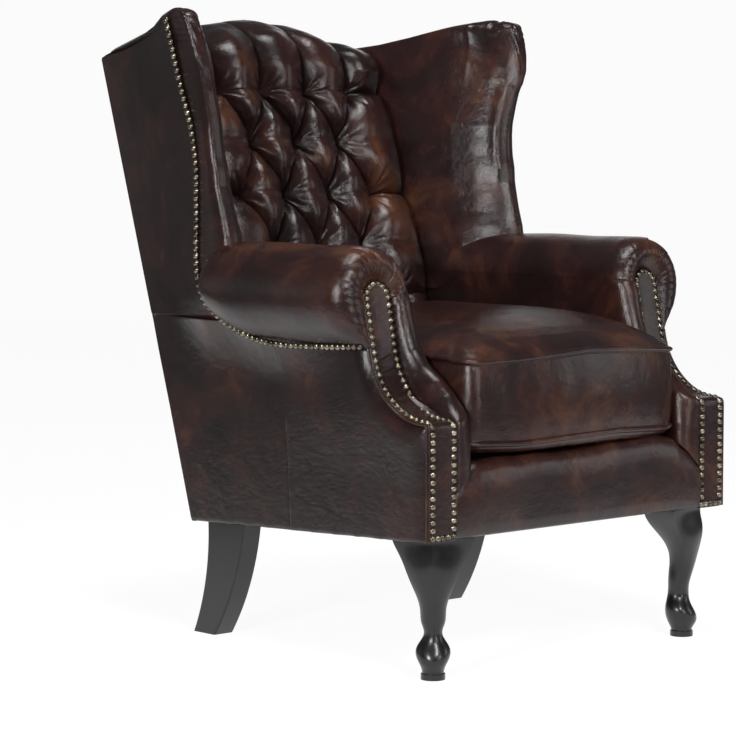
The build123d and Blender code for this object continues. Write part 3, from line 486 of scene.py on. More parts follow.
def side_panel(front, rear, count, front_round):
    """A sheet between a front and a rear line: depth by height, on the tapered side, full in the
    middle, rounded down to the front line and out to the arm board along its top, with its rims
    eased in; front and rear give depth from height."""
    u, v = np.meshgrid(crowded(count), crowded(count))
    z = hem(0) + (side_top(400) - hem(0)) * v
    for _ in range(4):
        y = front(z) * (1 - u) + rear(z) * u
        z = hem(y) + (side_top(y) - hem(y)) * v
    spots = np.stack([y, z], -1)
    deep_round = front_round * (0.35 + 0.65 * smooth((z - 290) / 130))
    full = (deep_round - min(front_round, 1.5)) * (1 - 0.6 * unit(y / 345))
    x = side_at(y) + full - rounded(apart(spots, front_path[::3]), 36, 1.0) * deep_round
    out_to_top = unit((z - 430) / (side_top(y) - 430)) ** 2
    x = x + (top_half(y) - 1.5 - side_at(y) - full) * out_to_top
    for edge, deep in ((spots[0], 2.5), (spots[-1], 0.5), (spots[:, 0], 1.5), (spots[:, -1], 1.5)):
        x = x - eased(apart(spots, edge), 5, deep)
    return np.stack([x, y, z], -1)


side_panels = [even(slab(side_panel(arm_front_depth, seam_depth, 110, 15.0), 5.0), 0.3),
               even(slab(side_panel(seam_depth, back_edge, 70, 0.0), 5.0), 0.3)]
pair("outside_arm_cover", lambda side: side_panels, leather, "outside_arm")

# Outer sides of the wings
# One padded panel each, from the level seam up to the top edge. It flares out to the nail line in
# front, where it is drawn tight over the wing's post.


def nail_depth(height):
    """Depth of the wing's nail line at a height."""
    return np.interp(height, NAIL_LINE[7:, 1], NAIL_LINE[7:, 0])


def nail_half(height):
    """Half width at the wing's nail line at a height."""
    return np.interp(height, NAIL_LINE[7:, 1], NAIL_HALF[7:])


def wing_edge(depth):
    """Height of the outer top edge of the wing: down from the tip in an S to the back corner."""
    return np.interp(depth, [556, 569, 595, 620, 643, 701, 752, 790, 819, 836, 850],
                     [1018, 1021, 1019, 1012, 1004, 991, 979, 974, 971, 965, 958])


def outer_wing():
    """The wing's outer sheet: depth by height between the nail line, the seam, the top edge and the
    back corner; its half width falls from the nails to the side as a power of the way back."""
    v, u = np.meshgrid(crowded(90), crowded(70), indexing="ij")
    z = WING_FOOT_Z + (1000 - WING_FOOT_Z) * v
    for _ in range(6):
        y = nail_depth(z) * (1 - u) + back_edge(z) * u
        z = WING_FOOT_Z + (wing_edge(y) - WING_FOOT_Z) * v
    flare = (1 - u) ** 1.5
    x = side_at(y) * (1 - flare) + nail_half(z) * flare
    spots = np.stack([y, z], -1)
    for edge, deep in ((spots[0], 1.2), (spots[-1], 2.5), (spots[:, -1], 1.5)):
        x = x - eased(apart(spots, edge), 6, deep)
    return np.stack([x, y, z], -1)


wing_panel = [even(slab(outer_wing(), 6.0), 0.3)]
pair("outside_wing_cover", lambda side: wing_panel, leather, "outside_wing")

# Outside of the back
# A padded panel from the hem to the crest, crowned across and turned in along its edges.


def crest_height(across):
    """Height of the crest at a half width: highest in the middle and falling in an S to each
    side."""
    return np.interp(np.abs(across), [0, 50, 100, 151, 200, 249, 285, 315],
                     [1040, 1037, 1027, 1010, 1000.5, 995, 984, 968])


def back_panel():
    """The back's outer sheet: out to both sides at each height, a parabola deep across, and its top
    turned in as a quarter ellipse; then the same points 8 mm further in."""
    u, v = np.meshgrid(np.sin(np.linspace(-1, 1, 61) * np.pi / 2), np.linspace(0, 1, 60))
    z = 193 + (crest_height(u * 310) - 32 - 193) * v
    x = u * (side_at(back_edge(z)) - 1)
    y = back_edge(z) + 26.0 * (1 - u ** 2) - 1.5 * np.abs(u) ** 14 - eased((1 - v) * 60, 1, 5)
    outer = np.stack([x, y, z], -1)
    inner = outer - np.array([0, 8.0, 0])
    return np.concatenate([outer, inner[:, ::-1]], 1)


piece = merge("outside_back_cover", [even(back_panel(), 0.4)], leather, ["outside_back"])

# Front rail
# Leather over wadding on the front rail, rounded into a soft roll along its top, which falls away
# at both ends behind the arms' fronts.
RAIL_HALF, RAIL_LOW, RAIL_RISE = 281.0, 219.0, 121.0


def rail_loops():
    """The rail's profile, a loop of depths and heights, at each place across: its height is
    stretched to that of the roll there, with low waves, and its front swells a little in places."""
    profile = np.array([
        [16, 219], [2, 219.5], [-1.5, 223], [-3, 240], [-4, 270], [-4, 300], [-2, 320], [3, 333],
        [12, 340], [24, 342], [36, 339], [44, 330], [46, 315], [44, 300], [24, 296], [16, 260]])
    u = np.linspace(-1, 1, 161)
    top = np.interp(u * RAIL_HALF, [-281, -262, -236, -227, 0, 46, 189, 225, 238, 262, 281],
                    [292, 312, 328, 333, 337, 341, 345, 338, 326, 312, 292])
    top = top + 1.2 * np.cos(u * 21 + 0.6) * (1 - u ** 2)
    depth, height = profile.T
    share = np.clip((height - RAIL_LOW) / RAIL_RISE, 0, None)
    bulge = 1.5 * np.sin(u * 8 + 1)[:, None] * np.sin(np.pi * unit(share))
    lifted = RAIL_LOW + share * (top[:, None] - RAIL_LOW)
    return np.stack([u[:, None] * RAIL_HALF + 0 * depth, depth - bulge * (depth < 10),
                     np.where(height < 219.6, height, lifted)], -1)


piece = merge("front_rail_padding", [even(rail_loops())], leather, ["front_rail_cover"])

# Arm rolls and inner arms
# Thick padding over the arm board under one hide, drawn round the front and gathered at the tongue.
# The inner side is a soft bolster beside the strip and a flat face down to the deck.
ROLL_X, ROLL_Z, ROLL_RADIUS, ROLL_END = 316.0, 583.0, 79.0, 505.0
INNER_FACE = 238.0
ARM_FOLDS = ((0.155, 0.13, 2.4, 0.5), (0.29, 0.2, 4.0, 0.75), (0.37, 0.3, 5.0, 1.0),
             (0.43, 0.37, 5.4, 1.05), (0.515, 0.5, 3.2, 1.0), (0.66, 0.66, 2.2, 1.2))


def arm_section(phi, depth):
    """Half width and height of the arm's full section at a depth, line by line: a circle round the
    roll from the nail line over the top, then the flat inner face, joined by a smooth step; the
    first lines are drawn in to the nails."""
    start_z = np.interp(depth, NAIL_LINE[:13, 0], NAIL_LINE[:13, 1])
    start = np.arcsin(np.clip((start_z - ROLL_Z) / ROLL_RADIUS, -1, 1))
    start = np.maximum(np.where(depth > 530, 0.0, start), -1.22)
    share = np.interp(phi, [0, 0.16, 0.34, 0.5], [0, 0.32, 0.66, 1.0])
    angle = start + (np.radians(172) - start) * share
    blend = smooth((phi - 0.5) / 0.1)
    low_z = np.interp(phi, [0.5, 0.6, 0.8, 1.0], [583, 500, 395, 335])
    x = np.where(phi <= 0.5, ROLL_X + ROLL_RADIUS * np.cos(angle), INNER_FACE)
    inner_z = 594 * (1 - blend) + low_z * blend
    z = np.where(phi <= 0.5, ROLL_Z + ROLL_RADIUS * np.sin(angle), inner_z)
    nailed = (1 - unit(phi / 0.1)) ** 2 * unit((depth - 150) / 60)
    x = x + (np.interp(depth, NAIL_LINE[:, 0], NAIL_HALF) - 1 - x) * nailed
    return x, z + (start_z - z) * nailed


def arm_relief(phi, tau):
    """Height of the folds and gathers on the arm's front. A lapped fold is an exponential up to its
    lip and a sunken one behind, and dies away from the tongue; the gathers are fine sine waves that
    are strongest a third of the way out."""
    relief = 0.0
    for begin, finish, height, reach in ARM_FOLDS:
        gap = begin + (finish - begin) * tau ** 1.6 - phi
        fade = unit(1 - tau / reach) ** 0.6 * unit(tau / 0.06)
        lip = np.exp(np.minimum(gap, 0) / 0.03)
        relief = relief + height * fade * np.where(gap < 0, lip, -0.5 * np.exp(-gap / 0.012))
    strength = np.interp(phi, [0.02, 0.08, 0.3, 0.36, 0.6, 0.7], [0, 0.7, 0.8, 0.35, 0.3, 0])
    waves = np.sin(phi * 250 + 2 * np.sin(phi * 40)) * np.exp(-((tau - 0.3) / 0.28) ** 2)
    return relief + waves * strength


def arm_loops():
    """Loops round the arm, front to back. Each line of the hide starts on the strip's border and
    runs as a cubic to the arm's full section: it leaves square to the strip and arrives level.
    Behind, the section runs on, sagging a little, and the roll closes in a half round. Two points
    inside the arm close each loop; the hide is rubbed lighter along the top."""
    phi = np.sort(np.concatenate([np.linspace(0, 1, 260), np.linspace(0.2, 0.56, 220)]))
    on_roll = phi <= 0.5
    top = front_length - 27
    round_angle = np.interp(phi, [0.16, 0.34, 0.5], [0, np.pi / 2, np.pi])
    border_s = np.interp(phi, [0, 0.16, 0.5, 0.6, 0.8, 1.0], [364, top, top, 360, 186, 70])
    border_s = border_s + 27 * np.sin(round_angle)
    border_x = STRIP_MIDDLE + 27.5 * np.cos(round_angle)
    border = on_front(border_s, border_x, -1.0)
    facing = on_front(border_s, border_x, 0.0) - border
    marks = [0, 0.16, 0.34, 0.42, 0.5, 0.56, 0.6, 0.65, 0.7, 0.75, 0.8, 0.9, 1.0]
    shoulder_y = np.interp(phi, marks,
                           [168, 176, 184, 186, 180, 158, 142, 126, 100, 66, 34, 20, 18])
    shoulder_x, shoulder_z = arm_section(phi, shoulder_y)
    low_z = np.interp(phi, marks[6:], [507, 481, 458, 438, 412, 362, 328])
    shoulder_z = np.where(phi > 0.6, low_z, shoulder_z)
    shoulder = np.stack([shoulder_x, shoulder_y, shoulder_z], -1)
    rise = np.interp(phi, [0, 0.1] + marks[1:3] + marks[4:],
                     [12, 22, 24, 26, 26, 27, 34, 42, 60, 44, 14, 10, 8])
    level = np.interp(phi, marks[:3] + marks[4:], [26, 42, 46, 48, 45, 50, 56, 62, 52, 36, 30, 28])
    tau = np.linspace(0, 1, 40)[:, None]
    t = tau[:, :, None]
    first = border + facing * rise[:, None]
    first = first + np.array([0.35, 0, 0.45]) * (shoulder - border) * on_roll[:, None]
    second = shoulder - np.array([0, 1.0, 0]) * level[:, None]
    front = ((1 - t) ** 3 * border + 3 * (1 - t) ** 2 * t * first
             + 3 * (1 - t) * t ** 2 * second + t ** 3 * shoulder)
    out = front - np.array([300, 185, 560])
    out = out / np.linalg.norm(out, axis=-1, keepdims=True)
    front = front + out * arm_relief(phi, tau)[:, :, None]
    run = np.linspace(0, 1, 70)[1:, None]
    end = np.interp(phi, [0, 0.22, 0.32, 0.42, 0.6, 1], [505, 505, 560, 650, 668, 600])
    y = shoulder_y + (end - shoulder_y) * run
    x, z = arm_section(phi, y)
    settle = unit(run * 4)
    z = z * settle + np.where(phi > 0.6, shoulder_z, z) * (1 - settle)
    left = unit(1 - (ROLL_END - y) / 42)
    closing = 42 / ROLL_RADIUS * (1 - np.sqrt(1 - left ** 2)) * unit((0.36 - phi) / 0.14)
    sag = 1 + (0.012 * np.sin(y / 31 + 7 * phi) * unit(run * 5)
               * unit((0.5 - phi) / 0.15))
    scale = np.where(on_roll, (1 - closing) * sag, 1)
    body = np.stack([ROLL_X + (x - ROLL_X) * scale, y, ROLL_Z + (z - ROLL_Z) * scale], -1)
    inside = np.broadcast_to(np.array([307.0, 190, 480]), (1,) + border.shape)
    loops = np.concatenate([inside, front, body])
    depth = np.clip(loops[..., 1].mean(1), 150, 640)
    core = [np.stack([0 * depth + x, depth, 0 * depth + z], -1)
            for x, z in ((285, 345), (312, 480))]
    loops = np.concatenate([loops, np.stack(core, 1)], 1)
    over = np.degrees(np.arctan2(loops[..., 2] - ROLL_Z, loops[..., 0] - ROLL_X)) - 95
    on_top = np.append(phi, [1.0, 1.0]) < 0.5
    return loops, 0.38 + 0.42 * np.exp(-(over / 50) ** 2) * on_top


arm = [arm_loops()]
pair("arm_hide", lambda side: arm, leather, "arm_pad")

# Wings
# Each wing is padded over its post: a bolster down the front edge, a full curve behind it and an
# even inner face. The hide turns over the top edge and is gathered at the tip.
WING_LOW, WING_HIGH, PAD_EDGE = 560.0, 1004.0, 234.0
WING_STOPS = np.array([0, 0.06, 0.14, 0.22, 0.29, 0.4, 0.54, 0.7, 0.86, 1.0])
WING_VALLEYS = {1: (0.235, 740, 960), -1: (0.105, 560, 960)}


def spline(stops, values, places):
    """A curve through values at the stops: cubic pieces whose slopes are those of the chords."""
    slope = np.gradient(values, stops)
    piece = np.clip(np.searchsorted(stops, places, "right") - 1, 0, len(stops) - 2)
    width = stops[piece + 1] - stops[piece]
    t = (places - stops[piece]) / width
    near = (2 * t ** 3 - 3 * t ** 2 + 1) * values[piece]
    far = (3 * t ** 2 - 2 * t ** 3) * values[piece + 1]
    bend = (t ** 3 - 2 * t ** 2 + t) * slope[piece] + (t ** 3 - t ** 2) * slope[piece + 1]
    return near + far + bend * width


def wing_rows(s, z):
    """Half width and depth along each level line of the wing: a smooth curve from the nail line
    round the bolster's nose and its full inner side, then in a shallow bow to the back."""
    nail_y, nail_x = nail_depth(z), nail_half(z)
    levels = [560, 640, 674, 701, 727, 754, 800, 834, 861, 887, 914, 940, 966, 984, 1004]
    reach = np.interp(z, levels, [60, 76, 72, 64, 56, 48, 42, 43, 47, 52, 56, 62, 64, 60, 50])
    wide = np.interp(z, [560, 640, 700, 850, 960, 1004], [86, 80, 70, 66, 62, 54])
    blunt = np.interp(z, [850, 980], [0.66, 0.76])
    root = 745 - (905 - z) * 0.354 + 34
    nose = nail_y - reach
    part = np.array([[0.25], [0.5], [0.76], [1.0]])
    depth = np.stack([nail_y, nail_y - reach * blunt, nose, nose + 8, nose + 32, nose + 74,
                      *((nose + 74) * (1 - part) + root * part)], -1)
    back = nail_x - wide * 1.12
    half = np.stack([nail_x - 2, nail_x + 1, nail_x - 17, nail_x - wide * 0.53,
                     nail_x - wide * 0.82, back,
                     *(back * (1 - part) + PAD_EDGE * part - 7 * np.sin(np.pi * part))], -1)
    rows = [(spline(WING_STOPS, half[row], s), spline(WING_STOPS, depth[row], s))
            for row in range(len(z))]
    return np.array(rows).transpose(1, 0, 2)


def wing_relief(s, z, height, side):
    """Height of the small forms on the wing: a valley along the bolster, a crease below the tip,
    fine gathers over the tip and low waves on the inner face."""
    place, low, high = WING_VALLEYS[side]
    fade = unit((z - low) / 60) * unit((high - z) / 60)
    valley = -4.0 * np.exp(-((s - place) / 0.024) ** 2) * fade[:, None]
    crease = -2.2 * np.exp(-((s - 0.42) / 0.008) ** 2) * unit((z - 925) / 30)[:, None]
    tip = unit((height - 968) / 30) * np.exp(-((s - 0.14) / 0.12) ** 2)
    inner_face = unit(s * 3 - 1) * unit((1 - s) * 5)
    waves = 0.6 * np.sin(height / 33 + s * 11) * inner_face
    return valley + crease + 1.5 * tip * np.sin(height / 1.5 + 9 * s) + waves


def wing_loops(side):
    """Loops up the wing. Each level line is raised, more the higher it is, to follow the top edge,
    which falls inwards at the tip, and moved square to itself by the small forms. Over the top edge
    the lines arch as half ellipses to the outer edge."""
    s = np.unique(np.concatenate([np.linspace(0, 1, 111), np.linspace(0, 0.34, 70)]))
    z = WING_LOW + (WING_HIGH - WING_LOW) * np.linspace(0, 1, 150)
    half, depth = wing_rows(s, z)
    share = np.interp(z, [WING_LOW, WING_HIGH], [0, 1])[:, None]
    places = [490, 500, 505, 510, 518, 530, 545, 560, 575, 600, 640, 700, 760, 812, 850]
    top = np.interp(depth, places, [966, 990, 1003, 1014, 1024, 1032, 1036, 1037, 1035, 1028,
                                    1019, 1004, 992, 986, 983])
    inward = smooth((nail_half(z)[:, None] - half - 20) / 44)
    fall = 42 * inward * np.exp(-(np.clip(depth - 535, 0, None) / 45) ** 2)
    low_side = 0.55 + 0.45 * unit(s / 0.1)
    lift = (top - WING_HIGH) * np.where(top > WING_HIGH, low_side, 1) - fall
    height = z[:, None] + share ** 3 * lift
    along = np.stack([np.gradient(half, axis=1), np.gradient(depth, axis=1)], -1)
    out = along[..., ::-1] / np.linalg.norm(along, axis=-1, keepdims=True)
    relief = wing_relief(s, z, height, side)
    sheet = np.stack([half + out[..., 0] * relief, depth - out[..., 1] * relief, height], -1)
    last = sheet[-1]
    outer_y = np.clip(last[:, 1], 558, None)
    outer_x = np.interp(outer_y, [556, 564, 595, 643, 701, 752, 819, 836],
                        [384, 385, 378, 358, 338, 323, 313, 312])
    outer = np.stack([outer_x, outer_y, wing_edge(outer_y) - 3], -1)
    psi = np.linspace(0, np.pi, 21)[1:, None, None]
    span = np.linalg.norm((outer - last)[:, :2], axis=-1)
    crown = np.minimum(span * 0.5, 13 + 0.5 * fall[-1] + 7 * np.exp(-((s - 0.16) / 0.07) ** 2))
    arch = (last * (1 + np.cos(psi)) + outer * (1 - np.cos(psi))) / 2
    arch = arch + np.array([0, 0, 1.0]) * crown[:, None] * np.sin(psi)
    return np.concatenate([sheet, arch])


pair("wing_hide", lambda side: [even(wing_loops(side), 0.4)], leather, "wing_pad")

# Buttoned back
# The hide is folded into diamonds over deep padding and tied down with covered buttons. Pleats run
# along the diagonals between buttons, up over the crest from the top row, and out to the wings.
BACK_ANGLE = np.radians(19.5)
COLUMN, ROW = 100.0, 96.0
PAD_HALF, LAST_COLUMN = 236.0, 150.0
TOP_ROW, CREST_TOP = 905.0, 1040.0


def tuft_line():
    """Depth and height along the bottom of the pleats, each millimetre from below the seat to the
    back of the crest, and the way it faces; zero is at the top row of buttons."""
    low = [745 - (TOP_ROW - 345) * np.tan(BACK_ANGLE), 345.0]
    knots = np.array([low, [745, TOP_ROW], [744, 935], [745, 965], [752, 991], [776, 1015],
                      [804, 1029], [831, 1036], [852, 1033], [868, 1018], [872, 1004]])
    line = stepped(knots)
    return (np.arange(len(line)) - np.hypot(*(knots[1] - knots[0])), *eased_line(line, 8.0))


tuft_steps, tuft_path, tuft_facing = tuft_line()


def on_back(across, up, lift):
    """Points of the back: up along the pleat line, lifted off it; above the top row the line is
    pressed down, as a power of the height, to the crest at that half width."""
    y, z = off_line(tuft_steps, tuft_path, tuft_facing, up, lift)
    above = np.clip(z - TOP_ROW, 0, None) / (CREST_TOP - TOP_ROW)
    z = z - (CREST_TOP - crest_height(across)) * above ** 1.6
    return np.stack([across + 0 * y, y, z], -1)


button_spots = np.array([((place - (3 - row % 2) / 2) * COLUMN, -row * ROW)
                         for row in range(5) for place in range(4 - row % 2)])


def gathers(across, up):
    """Fine folds that fan out from each button: sine waves round it, strongest 22 mm from it, that
    die away as a bell curve."""
    apart_x = across[..., None] - button_spots[:, 0]
    apart_z = up[..., None] - button_spots[:, 1]
    turn = np.arctan2(apart_z, apart_x)
    twist = button_spots[:, 0] * 0.05 + button_spots[:, 1] * 0.11
    wave = np.sin(11 * turn + 2 * np.sin(2 * turn + twist) + twist)
    wave = wave + 0.6 * np.sin(19 * turn + 2 * twist)
    return (wave * 2.5 * np.exp(-((np.hypot(apart_x, apart_z) - 22) / 16) ** 2)).sum(-1)


def pillow(left, right, up, floors, crown, fullness=0.5):
    """One pillow between two pleats: rows up the back, a power of a sine across that is steeper on
    its right, with gathers round the buttons and a few soft hollows, then its underside; floors are
    the heights of its two pleats. Its tone follows its height: lighter on the crown as wear, and
    darker down into the pleats as painted shade."""
    left, right, low_left, low_right, crown = (
        (value + 0 * up)[:, None] for value in (left, right, *floors, crown))
    s = crowded(64)
    across = left * (1 - s) + right * s
    rise = up[:, None] + 0 * s
    full = crown * np.sin(np.pi * s) ** fullness * (1 + 0.1 * np.sin(2 * np.pi * s))
    lift = low_left * (1 - s) + low_right * s + full
    hollows = 1.2 * np.sin(across / 13 + rise / 19) * np.sin(rise / 16 - across / 29)
    lift = lift + unit(lift / 7) * (gathers(across, rise) + hollows)
    top = on_back(across, rise, lift)
    under = on_back(across, rise, -10.0 + 0 * across)
    # Painted shade: the tone darkens where the pillow lies low, down into its pleats, and lightens
    # on the crown as wear.
    level = unit(0.1 + 0.5 * lift / 45)
    return np.concatenate([top, under[:, ::-1]], 1), np.concatenate([level, 0.3 + 0 * level], 1)


def between(t):
    """Height of a pleat's bottom between two buttons: a power of a sine, nothing at each button."""
    return 21 * np.abs(np.sin(np.pi * t)) ** 0.8


# Diamonds: each is as wide as a column in its middle and runs from one button up to the next but
# one, between the two at its sides.
pillows = []
t = crowded(60)
narrow = COLUMN / 2 * (1 - np.abs(2 * t - 1))
floor = between(2 * t)
for row in range(1, 5):
    up = -(row - 1) * ROW - 2 * ROW * t
    for centre in ((-COLUMN / 2, COLUMN / 2) if row % 2 else (-COLUMN, 0, COLUMN)):
        pillows.append(pillow(centre - narrow, centre + narrow, up, (floor, floor),
                              43.7 * (narrow / 50) ** 0.95, 0.55))
# Half diamonds that fill up to the wings.
swell = np.sin(np.pi * t) ** 0.5
for row in (1, 3):
    up = -(row - 1) * ROW - 2 * ROW * t
    for side in (-1, 1):
        pillows.append(pillow(side * (LAST_COLUMN - narrow), side * PAD_HALF, up,
                              (floor, 4 + 10 * swell), 14 + 27 * swell))
# Upright pillows from the second row of buttons over the crest, and the two outer ones beside them
# from the top row.
w = np.linspace(0, 1, 90)
top_length = tuft_steps[-1]
up = -ROW + (ROW + top_length) * w
below = unit(-up / ROW)
half = COLUMN / 2 * (1 - below)
floor = np.where(up < 0, between(-up / ROW), 0.0)
crown = np.interp(up, [-ROW, -60, 0, 50, 85, 110, 140, 175, top_length],
                  [0, 28, 43, 42, 30, 19, 10, 4, 3])
for centre in (-COLUMN, 0, COLUMN):
    pillows.append(pillow(centre - half, centre + half, up, (floor, floor), crown))
up = top_length * w
crown = np.interp(up, [0, 25, 50, 85, 110, 140, 175, top_length], [14, 30, 36, 30, 19, 10, 4, 3])
for side in (-1, 1):
    pillows.append(pillow(side * LAST_COLUMN, side * PAD_HALF, up, (0, 0), crown))
# Pillows that run down behind the seat cushion, three from the fourth row of buttons and two outer
# ones from the fifth.
up = np.linspace(-3 * ROW, tuft_steps[0] + 5, 60)
below = unit((-up - 3 * ROW) / ROW)
half = COLUMN / 2 * below
floor = np.where(below < 1, between(below), 0.0)
for centre in (-COLUMN, 0, COLUMN):
    pillows.append(pillow(centre - half, centre + half, up, (floor, floor), 42 * below ** 0.9))
up = np.linspace(-4 * ROW, tuft_steps[0] + 5, 40)
for side in (-1, 1):
    pillows.append(pillow(side * LAST_COLUMN, side * PAD_HALF, up, (0, 0), 36.0))
back = merge("buttoned_back", pillows, leather, ["back_pad"])

# Covered buttons
# Each is a metal shell under a disc of the same leather, domed and drawn deep into the padding.
BUTTON_RINGS = np.array([[9.5, -3], [10, 2], [9.2, 5], [7, 7.2], [4, 8.6], [1.5, 9]])


def button_loops(x, up):
    """A button: circles on the back round its spot, smaller and higher towards the middle."""
    angle = np.linspace(0, 2 * np.pi, 25)[:-1]
    across = x + BUTTON_RINGS[:, :1] * np.cos(angle)
    return on_back(across, up + BUTTON_RINGS[:, :1] * np.sin(angle), BUTTON_RINGS[:, 1:])


merge("back_button_covers", [even(button_loops(*spot), 0.4) for spot in button_spots], leather,
      ["back_buttons"])

# Seat cushion
# A loose leather case over foam: a crowned top and a flat underside, joined to an upright border by
# welted seams. The border is full, bowed out in front and drawn in at the sides.
CUSHION_HALF, CUSHION_FRONT, CUSHION_BACK, CUSHION_CORNER = 236.5, 10.0, 572.0, 26.0
CUSHION_PROFILE = np.array([
    [230, 343], [190, 341], [120, 340], [60, 339.5], [24, 340], [10, 343], [3.5, 349], [1.8, 352],
    [0.4, 352.2], [-1.4, 353.6], [-2.0, 356], [-1.2, 358.4], [0.6, 359.8], [1.6, 360.6], [1.0, 366],
    [0, 376], [-1, 395], [-1.5, 420], [-1, 445], [0, 464], [1.2, 478], [2.2, 484], [1.0, 485.2],
    [-1.0, 486.4], [-2.0, 489], [-1.2, 491.6], [0.8, 493.2], [3.0, 493.8], [9, 499], [20, 507],
    [38, 518], [62, 529], [92, 539], [125, 547], [160, 552.5], [195, 555.5], [230, 556.5]])


def cushion_outline(inset):
    """Loop round the cushion at an inset: straight sides and back, quarter-circle corners and a
    bowed front, drawn towards the middle by the inset."""
    flat = CUSHION_HALF - CUSHION_CORNER
    near, far = CUSHION_FRONT + CUSHION_CORNER, CUSHION_BACK - CUSHION_CORNER
    turn = np.linspace(0, np.pi / 2, 17)
    round_x, round_y = CUSHION_CORNER * np.cos(turn), CUSHION_CORNER * np.sin(turn)
    side_y = np.linspace(near, far, 80)
    front_x = np.linspace(flat, -flat, 110)
    back_x = np.linspace(-flat, flat, 60)
    drawn_in = 3 * np.sin(np.pi * (side_y - near) / (far - near))
    right = np.stack([CUSHION_HALF - drawn_in, side_y], -1)
    corners = [np.stack([flat + round_x, far + round_y], -1),
               np.stack([-flat - round_y, far + round_x], -1),
               np.stack([-flat - round_x, near - round_y], -1),
               np.stack([flat + round_y, near - round_x], -1)]
    rear = np.stack([-back_x, np.full(60, CUSHION_BACK)], -1)
    front = np.stack([-front_x, CUSHION_FRONT - 23 * (1 - (front_x / flat) ** 2)], -1)
    loop = np.concatenate([right[:-1], corners[0], rear[1:-1], corners[1],
                           (right[::-1] * (-1, 1))[1:-1], corners[2], front[1:-1], corners[3]])
    middle = np.array([0, 283.0])
    return middle + (loop - middle) * (1 - np.stack([inset / CUSHION_HALF, inset / 292.0], -1))


def cushion_loops():
    """The cushion's loops from the middle of its underside over the border to the crown. The seams
    are small round beads in the profile, the border swells in front as a sine of its height, with
    upright creases of crossed sines, and the seams rise and fall along the front."""
    fine = np.concatenate([np.linspace(0, 5, 16)[:-1], np.linspace(5, 28, 70)[:-1],
                           np.linspace(28, 36, 45)])
    steps = np.arange(len(CUSHION_PROFILE))
    inset, height = (np.interp(fine, steps, row)[:, None] for row in CUSHION_PROFILE.T)
    x, y = cushion_outline(0.0).T
    frontness = unit((40 - y) / 50) * unit(1 - (np.abs(x) / 225) ** 6)
    creases = 2.2 * np.sin(x / 19 + 1.5 * np.sin(x / 47)) + 1.2 * np.sin(x / 8.5 + height / 30)
    creases = 0.45 * creases * (0.4 + 0.6 * (x / 236) ** 2) * (y < 45)
    upright = unit((height - 361) / 123)
    plan = np.stack([cushion_outline(value) for value in inset[:, 0]])
    plan[..., 1] -= unit(np.sin(np.pi * upright)) * (frontness * 3 + creases) * (y < 60)
    high_seam = np.interp(x, [-236, -216, -123, 0, 98, 201, 236], [-3, -5, -1, 6, 3, -3, -6])
    low_seam = np.interp(x, [-236, -145, -26, 74, 208, 236], [4, 0, 5, 7, 0, 4])
    near_low = unit(1 - np.abs(height - 357) / 60) * unit(1 - inset / 60)
    rise = high_seam * upright * unit(1 - inset / 90) + low_seam * near_low
    return np.concatenate([plan, (height + rise * (y < 60))[..., None]], -1)


cushion = merge("seat_cushion", [even(cushion_loops(), 0.52)], leather, ["cushion_cover"],
                body="cushion")

# Brass nails
# Domed brass tacks with a dark patina, about 11 mm across and nearly touching, along both edges of
# the facing strips, under the arm rolls and up the front of the wings.
NAIL_RINGS = np.array([[5.2, -1.5], [5.6, 0.4], [5.0, 2.3], [3.2, 3.9], [1.1, 4.6]])
brass, tree = begin_material("patinated brass")
patina = texture(tree, "TexNoise", {"Scale": 90.0, "Detail": 3.0})
end_material(tree, {"Metallic": 1.0, "Roughness": 0.24}, patina,
             [(0.3, "#3a352e"), (0.5, "#7d7566"), (0.75, "#b8ae9c")])


def evenly(path, pitch):
    """Points about a pitch apart along a line of points, with both ends kept."""
    along = np.concatenate([[0], np.cumsum(np.linalg.norm(np.diff(path, axis=0), axis=1))])
    places = np.linspace(0, along[-1], int(round(along[-1] / pitch)) + 1)
    return np.stack([np.interp(places, along, row) for row in path.T], -1)


def nail_blocks(spots, facing):
    """Low domes on points, each turned to face its own way: rings of a flattened half sphere."""
    facing = facing / np.linalg.norm(facing, axis=1, keepdims=True)
    side_way = np.cross(facing, (0.31, 0.17, 0.93))
    side_way = side_way / np.linalg.norm(side_way, axis=1, keepdims=True)
    up_way = np.cross(facing, side_way)
    angle = np.linspace(0, 2 * np.pi, 13)[:-1, None]
    radius, height = NAIL_RINGS.T[:, :, None, None]
    return [even(spot + height * out + radius * (np.cos(angle) * one + np.sin(angle) * two))
            for spot, out, one, two in zip(spots, facing, side_way, up_way)]


side_nails = evenly(np.column_stack([NAIL_HALF, NAIL_LINE])[1:], 11.8)
under_roll = unit((545 - side_nails[:, 1:2]) / 40)
side_facing = np.array([1.0, -0.25, 0.0]) + under_roll * (0, 0.1, -0.35)
side_nails = side_nails + (0.5, 0, 0) + under_roll * (2.5, 0, -1.5)
row_s = np.linspace(7, front_length - 26, int(round((front_length - 26) / 12)))
turn = np.linspace(0, np.pi, 8)[1:-1]
strip_s = np.concatenate([row_s, row_s[-1] + 22 * np.sin(turn), row_s[::-1], np.full(3, 7.0)])
strip_x = np.concatenate([np.full_like(row_s, 329), STRIP_MIDDLE + 22 * np.cos(turn),
                          np.full_like(row_s, 285), [296, 307, 318]])
strip_nails = on_front(strip_s, strip_x, 1.2)
nail_spots = np.concatenate([side_nails, strip_nails])
nail_facing = np.concatenate([side_facing, on_front(strip_s, strip_x, 2.2) - strip_nails])
for side, word in ((1, "left"), (-1, "right")):
    nails = nail_blocks(nail_spots * (side, 1, 1), nail_facing * (side, 1, 1))
    merge("brass_nails_" + word, nails, brass)

